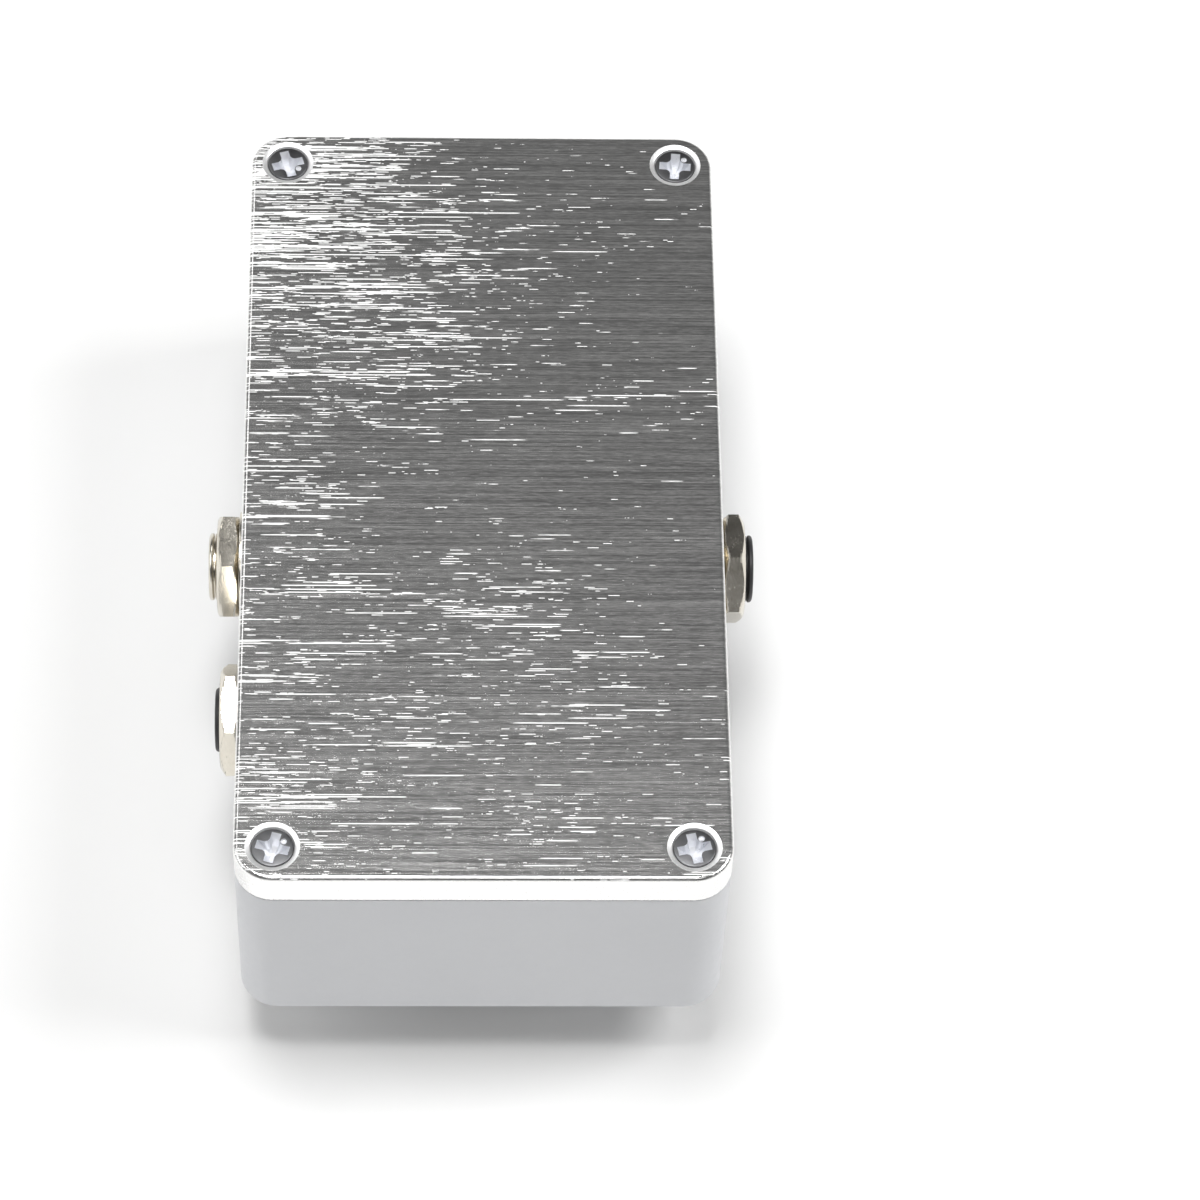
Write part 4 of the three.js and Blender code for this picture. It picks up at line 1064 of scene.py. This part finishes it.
def make_light():
    low, high = reach("status_light_lens", LIGHT_PLACE)
    radius, top = high.x, high.z
    profile = [(0, -5), (radius, -5)]
    steps = 12
    for i in range(steps + 1):
        angle = math.pi / 2 * i / steps
        profile.append((radius * math.cos(angle), top - radius + radius * math.sin(angle)))
    lens = as_object("status_lens", turned(profile, 0, 56))
    for x in (-1.27, 1.27):
        combine(lens, bar((x - 0.25, -0.25, low.z), (x + 0.25, 0.25, -4.5), 0.05), "UNION")
    settle(lens, LIGHT_PLACE, "case", "light_lens", "status_light_lens")
    bezel_low, bezel_high = reach("status_light_bezel", LIGHT_PLACE)
    inner = radius + 0.15
    sleeve = LIGHT_HOLE - HOLE_GAP
    outline = [
        (inner, bezel_low.z),
        (sleeve, bezel_low.z),
        (sleeve, 0.1),
        (bezel_high.x, 0.1),
        (bezel_high.x, 0.8),
        (bezel_high.x - 0.8, bezel_high.z),
        (inner + 0.15, bezel_high.z - 0.2),
    ]
    bezel = as_object("status_bezel", turned(outline, 0.25, 64))
    settle(bezel, LIGHT_PLACE, "case", "nickel_plate", "status_light_bezel")


def make_footswitch():
    low, high = reach("footswitch_bushing", FOOT_PLACE)
    end = high.z
    shoulder = 8.0
    start = [
        (FOOT_BORE, low.z),
        (FOOT_BARREL, low.z),
        (FOOT_BARREL, -WALL - 1.0),
        (shoulder, -WALL - 1.0),
        (shoulder, -WALL - 0.1),
        (FOOT_BARREL, -WALL - 0.1),
    ]
    finish = [
        (FOOT_BARREL - 0.1, end - 0.35),
        (FOOT_BARREL - 0.35, end),
        (FOOT_BORE + 0.2, end),
        (FOOT_BORE, end - 0.2),
    ]
    thread = (FOOT_BARREL, -WALL, end - 0.6, 0.75, 0.32)
    bushing = as_object("footswitch_threaded_bushing", threaded_tube(start, thread, finish, 96))
    cover = bar((low.x, low.y, low.z), (high.x, high.y, low.z + 0.9), 0.15)
    cover_object = as_object("footswitch_cover", cover)
    combine(cover_object, rod(FOOT_BARREL + 0.01, low.z - 1, low.z + 2))
    settle(bushing, FOOT_PLACE, "case", "nickel_plate", "footswitch_bushing")
    settle(cover_object, FOOT_PLACE, "case", "nickel_plate")
    washer_bore = FOOT_BARREL + HOLE_GAP
    make_washer("footswitch_flat_washer", "footswitch_washer", FOOT_PLACE, washer_bore, 96)
    make_nut("footswitch_hex_nut", "footswitch_nut", FOOT_PLACE, FOOT_BARREL + NUT_GAP, 5)
    make_button()
    make_return_spring()


def make_button():
    low, high = reach("footswitch_button", FOOT_PLACE)
    radius, bore, bore_end = high.x, 3.4, 7.0
    dome, roundness = 1.9, 0.62
    profile = [(bore, low.z), (radius, low.z), (radius, high.z - dome)]
    steps = 10
    for i in range(1, steps + 1):
        angle = math.pi / 2 * i / steps
        height = high.z - dome + dome * math.sin(angle)
        profile.append((radius * math.cos(angle) ** roundness, height))
    profile[-1] = (0.01, high.z)
    outline = [(0.01, bore_end), (bore, bore_end)] + profile
    button = as_object("footswitch_cap", skin(round_rings(outline, 80), closed=True))
    node = "footswitch_button"
    settle(button, FOOT_PLACE, node, "nickel_plate", node)


def make_return_spring():
    """A coil with closed end turns."""
    node = "footswitch_spring"
    low, high = reach(node, FOOT_PLACE)
    wire, turns, per_turn, sides = 0.32, 8, 24, 10
    end_rise = 2.1 * wire
    middle_rise = high.z - low.z - 2 * wire - 2 * end_rise
    rings = []
    for i in range(turns * per_turn + 1):
        turn = i / per_turn
        middle = min(max(turn - 1, 0), turns - 2) / (turns - 2)
        ends = min(turn, 1) + max(turn - turns + 1, 0)
        height = low.z + wire + end_rise * ends + middle_rise * middle
        angle = 2 * math.pi * turn
        ring = []
        for side in range(sides):
            around = 2 * math.pi * side / sides
            radius = high.x - wire + wire * math.sin(around)
            rise = wire * math.cos(around)
            ring.append((radius * math.cos(angle), radius * math.sin(angle), height + rise))
        rings.append(ring)
    spring = as_object("footswitch_return_spring", skin(rings))
    settle(spring, FOOT_PLACE, "case", "spring_steel", node)
    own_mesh(spring)


# ---------------- CAD pieces that stay


def paint_cad_nodes():
    """Gives every CAD piece that still shows its own procedural material."""
    slots = {row["node"]: row["material_slot"] for row in frame["record"]["subparts"]}
    for name, obj in frame["nodes"].items():
        if obj.hide_render:
            continue
        obj.data.materials.clear()
        obj.data.materials.append(MATERIALS[slots[name]])


make_case()
make_lid()
for corner_name in SCREW_TURNS:
    make_lid_screw(corner_name)
make_jack("input_jack", LEFT_JACK, -2, "nickel_plate")
make_jack("thru_jack", RIGHT_JACK, -9, "black_plastic")
make_power_jack()
make_xlr_shell()
make_xlr_insides()
for screw_name, screw_place in XLR_SCREWS.items():
    make_xlr_screw(screw_name, screw_place)
for control_name, control_place in CONTROL_PLACES.items():
    make_control(control_name, control_place)
for switch_name, switch_place in SWITCH_PLACES.items():
    make_switch(switch_name, switch_place)
make_light()
make_footswitch()
paint_cad_nodes()

# ---------------- camera

# From the middle of the lid's face, mm. The angles are in degrees.
CAMERA_FROM_LID = Vector((-7.3, -367.8, 563.4))
CAMERA_YAW, CAMERA_PITCH, CAMERA_ROLL = 3.787, 58.087, 3.432
CAMERA_LENS, CAMERA_SENSOR = 146.58, 36.0


def make_camera():
    yaw, pitch = math.radians(CAMERA_YAW), math.radians(CAMERA_PITCH)
    roll = math.radians(CAMERA_ROLL)
    forward = Vector(
        (math.sin(yaw) * math.cos(pitch), math.cos(yaw) * math.cos(pitch), -math.sin(pitch))
    )
    level = Vector((math.cos(yaw), -math.sin(yaw), 0))
    above = level.cross(forward)
    across = math.cos(roll) * level + math.sin(roll) * above
    upward = -math.sin(roll) * level + math.cos(roll) * above
    turn = Matrix((across, upward, -forward)).transposed().to_4x4()
    data = bpy.data.cameras.new("camera")
    data.lens = CAMERA_LENS
    data.sensor_width = CAMERA_SENSOR
    data.clip_start = 0.01
    camera = bpy.data.objects.new("camera", data)
    lid_middle = Vector((CASE_MIDDLE.x, CASE_MIDDLE.y, LID_TOP))
    camera.matrix_world = Matrix.Translation((lid_middle + CAMERA_FROM_LID) * MM) @ turn
    SCENE.collection.objects.link(camera)
    SCENE.camera = camera


# ---------------- floor and light


def make_floor():
    half = 3.0
    corners = [(-half, -half, 0), (half, -half, 0), (half, half, 0), (-half, half, 0)]
    mesh = bpy.data.meshes.new("floor")
    mesh.from_pydata(corners, [], [(0, 1, 2, 3)])
    floor = bpy.data.objects.new("floor", mesh)
    SCENE.collection.objects.link(floor)
    finish = Finish("floor_paper", roughness=0.9)
    cloud = finish.noise((9, 9, 9))
    finish.set("Base Color", finish.mix(cloud, (0.86, 0.86, 0.855), (0.88, 0.88, 0.875)))
    finish.set("Specular IOR Level", 0.1)
    mesh.materials.append(finish.material)


def softbox(name, place, aim, size, power):
    """A rectangular white light. Places and sizes are in metres, power in watts."""
    data = bpy.data.lights.new(name, "AREA")
    data.shape = "RECTANGLE"
    data.size, data.size_y = size
    data.energy = power
    light = bpy.data.objects.new(name, data)
    direction = Vector(aim) - Vector(place)
    turn = direction.to_track_quat("-Z", "Y").to_matrix().to_4x4()
    light.matrix_world = Matrix.Translation(place) @ turn
    SCENE.collection.objects.link(light)


def make_lights():
    target = (0, 0, 0.03)
    softbox("overhead", (-0.1, 0.05, 1.2), target, (0.5, 0.32), 8.6)
    softbox("front", (0.0, -0.62, 1.04), target, (0.6, 0.3), 1.3)
    softbox("key", (0.72, 0.0, 0.96), target, (0.5, 0.5), 7.0)
    softbox("fill", (-0.8, 0.0, 0.6), target, (0.6, 0.6), 2.4)
    softbox("back", (-0.5, 0.68, 0.98), target, (0.5, 0.4), 1.3)
    world = bpy.data.worlds.new("studio")
    world.use_nodes = True
    nodes, links = world.node_tree.nodes, world.node_tree.links
    direction = nodes.new("ShaderNodeTexCoord")
    height = nodes.new("ShaderNodeSeparateXYZ")
    links.new(direction.outputs["Generated"], height.inputs[0])
    sweep = nodes.new("ShaderNodeMapRange")
    sweep.interpolation_type = "SMOOTHSTEP"
    for name, value in (("From Min", 0.08), ("From Max", 0.42), ("To Min", 0.65), ("To Max", 0.07)):
        sweep.inputs[name].default_value = value
    links.new(height.outputs["Z"], sweep.inputs["Value"])
    links.new(sweep.outputs[0], nodes["Background"].inputs["Strength"])
    nodes["Background"].inputs["Color"].default_value = (1, 1, 1, 1)
    SCENE.world = world
    SCENE.view_settings.view_transform = "Standard"


make_camera()
make_floor()
make_lights()
